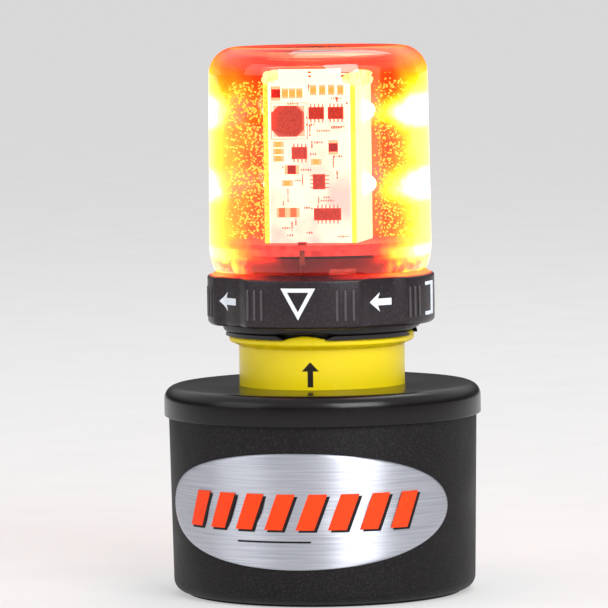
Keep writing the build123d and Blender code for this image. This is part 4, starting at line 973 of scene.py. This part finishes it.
def make_neck_sleeve():
    """A sleeve on the carrier's neck, seen through the foot of the lens; its lighter grey is painted light
    for the glow there.
    """
    high, bore = neck_top - 0.2, 23.5
    bm = lathe([(bore, NECK_FOOT), (NECK_RADIUS, NECK_FOOT), (NECK_RADIUS, high), (bore, high)])
    piece("neck_sleeve_painted_light", bm, "carrier", SLEEVE_GREY)


def make_neck_seam():
    """The parting line that the mould left down the carrier's neck."""
    bm = bmesh.new()
    half, proud = 0.1, 0.08
    add_box(bm, (NECK_RADIUS - 0.16, -half, NECK_FOOT), (NECK_RADIUS + proud, half, neck_top - 0.3))
    bmesh.ops.rotate(bm, verts=bm.verts[:], cent=(0, 0, 0), matrix=Matrix.Rotation(radians(-94), 3, "Z"))
    piece("neck_parting_line", bm, "carrier", ZINC)


# ------------ head: driver board details
def islands(node):
    """(low, high) in millimetres of each separate solid in a CAD node."""
    bm = bmesh.new()
    bm.from_mesh(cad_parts[node].data)
    bmesh.ops.remove_doubles(bm, verts=bm.verts[:], dist=1e-6)
    left, found = set(bm.verts), []
    while left:
        group, edge = [], [left.pop()]
        while edge:
            v = edge.pop()
            group.append(v.co / MM)
            for link in v.link_edges:
                other = link.other_vert(v)
                if other in left:
                    left.remove(other)
                    edge.append(other)
        found.append([Vector([pick(p[k] for p in group) for k in range(3)]) for pick in (min, max)])
    bm.free()
    return found


END_CAPPED = ("ceramic_capacitors", "tantalum_capacitors", "sense_resistors")
BOARD_PARTS = ("power_inductor", "switching_chips", "controller_chip", *END_CAPPED)


def make_solder_ends():
    """Tinned ends on the chip capacitors and resistors."""
    bm = bmesh.new()
    coat = 0.05
    for low, high in [box for node in END_CAPPED for box in islands(node)]:
        size = high - low
        long_axis = 0 if size.x > size.z else 2
        cap = size[long_axis] * 0.2
        for end in (0, 1):
            a, b = low - Vector((coat,) * 3), high + Vector((coat, 0, coat))
            if end:
                a[long_axis] = high[long_axis] - cap
            else:
                b[long_axis] = low[long_axis] + cap
            add_box(bm, a, b)
    piece("solder_ends", bm, "head", SOLDER)


def make_board_legend():
    """Fine legend marks, pads and vias between the parts; they spell nothing."""
    random.seed(11)
    bm = bmesh.new()
    words, pitch, frame_gap, frame_line = 60, 0.75, 0.8, 0.16
    face, top = board_low.y, tower_high.z + 52
    taken = [box for node in BOARD_PARTS for box in islands(node)]

    def free(x, z, margin=0.5):
        return not any(a.x - margin < x < b.x + margin and a.z - margin < z < b.z + margin for a, b in taken)

    def dash(x, z, w, h):
        add_box(bm, (x - w / 2, face - 0.04, z - h / 2), (x + w / 2, face + 0.02, z + h / 2))

    for _ in range(words):
        x0 = random.uniform(board_low.x + 2, board_high.x - 4)
        z0 = random.uniform(board_low.z + 2, board_high.z - 6)
        upright = random.random() < 0.4
        for k in range(random.randint(3, 6)):
            x, z = (x0, z0 + pitch * k) if upright else (x0 + pitch * k, z0)
            if free(x, z) and z < top and x < board_high.x - 1:
                dash(x, z, random.uniform(0.25, 0.5), random.uniform(0.4, 0.85))
    low, high = islands("power_inductor")[0]
    for x in (low.x - frame_gap, high.x + frame_gap):
        dash(x, (low.z + high.z) / 2, frame_line, high.z - low.z + 2 * frame_gap)
    for z in (low.z - frame_gap, high.z + frame_gap):
        dash((low.x + high.x) / 2, z, high.x - low.x + 2 * frame_gap, frame_line)
    piece("board_legend", bm, "head", LEGEND)


# ------------ studio
def floor_card(name):
    """Pale paper sweep. Seen directly it keeps most of its own tone, and it still takes shadows."""
    made, tree, place = material(name)
    fibre = add(tree, "TexNoise", {"Vector": place, "Scale": per_mm(40), "Detail": 2.0})
    tone = add(tree, "Mix", {"Factor": fibre, "A": "#e4e3e2", "B": "#eae9e8"}, data_type="RGBA")
    paper = add(tree, "BsdfPrincipled", {"Base Color": tone, "Roughness": 0.9})
    plain = add(tree, "Emission", {"Color": tone})
    ray = add(tree, "LightPath")
    seen = add(tree, "Math", [ray.outputs["Is Camera Ray"], ray.outputs["Is Transmission Ray"]],
               operation="MAXIMUM")
    seen = add(tree, "Math", [seen, ray.outputs["Is Glossy Ray"]], operation="MAXIMUM")
    share = add(tree, "Math", [seen, 0.55], operation="MULTIPLY")
    add(tree, "OutputMaterial", {"Surface": add(tree, "MixShader", [share, paper, plain])})
    return made


def make_floor():
    bm = bmesh.new()
    bmesh.ops.create_grid(bm, x_segments=2, y_segments=2, size=30)
    put_mesh("floor", bm, floor_card("pale_paper"))


def make_world():
    """Soft room light from above, fading to grey at the horizon so that black gloss stays dark."""
    world = bpy.data.worlds.new("studio")
    bpy.context.scene.world = world
    world.use_nodes = True
    tree = world.node_tree
    tree.nodes.clear()
    up = add(tree, "SeparateXYZ", [add(tree, "TexCoord").outputs["Generated"]]).outputs["Z"]
    level = add(tree, "MapRange", [up, 0.08, 0.55, 0.07, 0.85], interpolation_type="SMOOTHSTEP")
    add(tree, "OutputWorld", {"Surface": add(tree, "Background", {"Color": "#f6f7fa", "Strength": level})})


def make_lamp(name, azimuth, elevation, distance, size, power):
    """A square white softbox aimed at the middle of the flare."""
    data = bpy.data.lights.new(name, "AREA")
    data.size, data.energy = size, power
    lamp = put(name, data)
    a, e = radians(azimuth), radians(elevation)
    out = Vector((sin(a) * cos(e), -cos(a) * cos(e), sin(e)))
    lamp.location = Vector((0, 0, 0.09)) + out * distance
    lamp.rotation_euler = out.to_track_quat("Z", "Y").to_euler()


CAMERA_DISTANCE = 1.750
CAMERA_HEIGHT = 0.219
CAMERA_AZIMUTH = 10.5
CAMERA_PITCH = 4.087            # below the horizon
CAMERA_YAW = 0.184              # aimed this much left of the axis
CAMERA_ROLL = 0.8
CAMERA_LENS = 318.0


def make_camera():
    data = bpy.data.cameras.new("camera")
    data.lens, data.sensor_width = CAMERA_LENS, 36.0
    data.clip_end = 50.0
    camera = put("camera", data)
    a = radians(CAMERA_AZIMUTH)
    turn = Matrix.Rotation(radians(CAMERA_AZIMUTH + CAMERA_YAW), 4, "Z")
    tilt = Matrix.Rotation(radians(90 - CAMERA_PITCH), 4, "X")
    roll = Matrix.Rotation(radians(-CAMERA_ROLL), 4, "Z")
    place = Vector((CAMERA_DISTANCE * sin(a), -CAMERA_DISTANCE * cos(a), CAMERA_HEIGHT))
    camera.matrix_world = Matrix.Translation(place) @ turn @ tilt @ roll
    bpy.context.scene.camera = camera


# ------------ put it together
for make in (
    dress_cad_nodes, make_tub, make_lid, make_badge, make_badge_bars, make_cup, make_cup_arrow,
    make_mode_ring, make_grip_ribs, make_collar, make_ring_marks, make_lens, make_bubbles,
    make_shoulder_band, make_neck_sleeve, make_neck_seam, make_tower_skirt, make_sealant,
    make_solder_ends, make_board_legend, make_floor, make_world, make_camera,
):
    make()
make_lamp("key", 38, 32, 1.6, 0.9, 19)
make_lamp("fill", -55, 25, 1.8, 1.2, 5)
make_lamp("top", 170, 65, 1.6, 1.0, 9)
bpy.context.scene.view_settings.view_transform = "Standard"
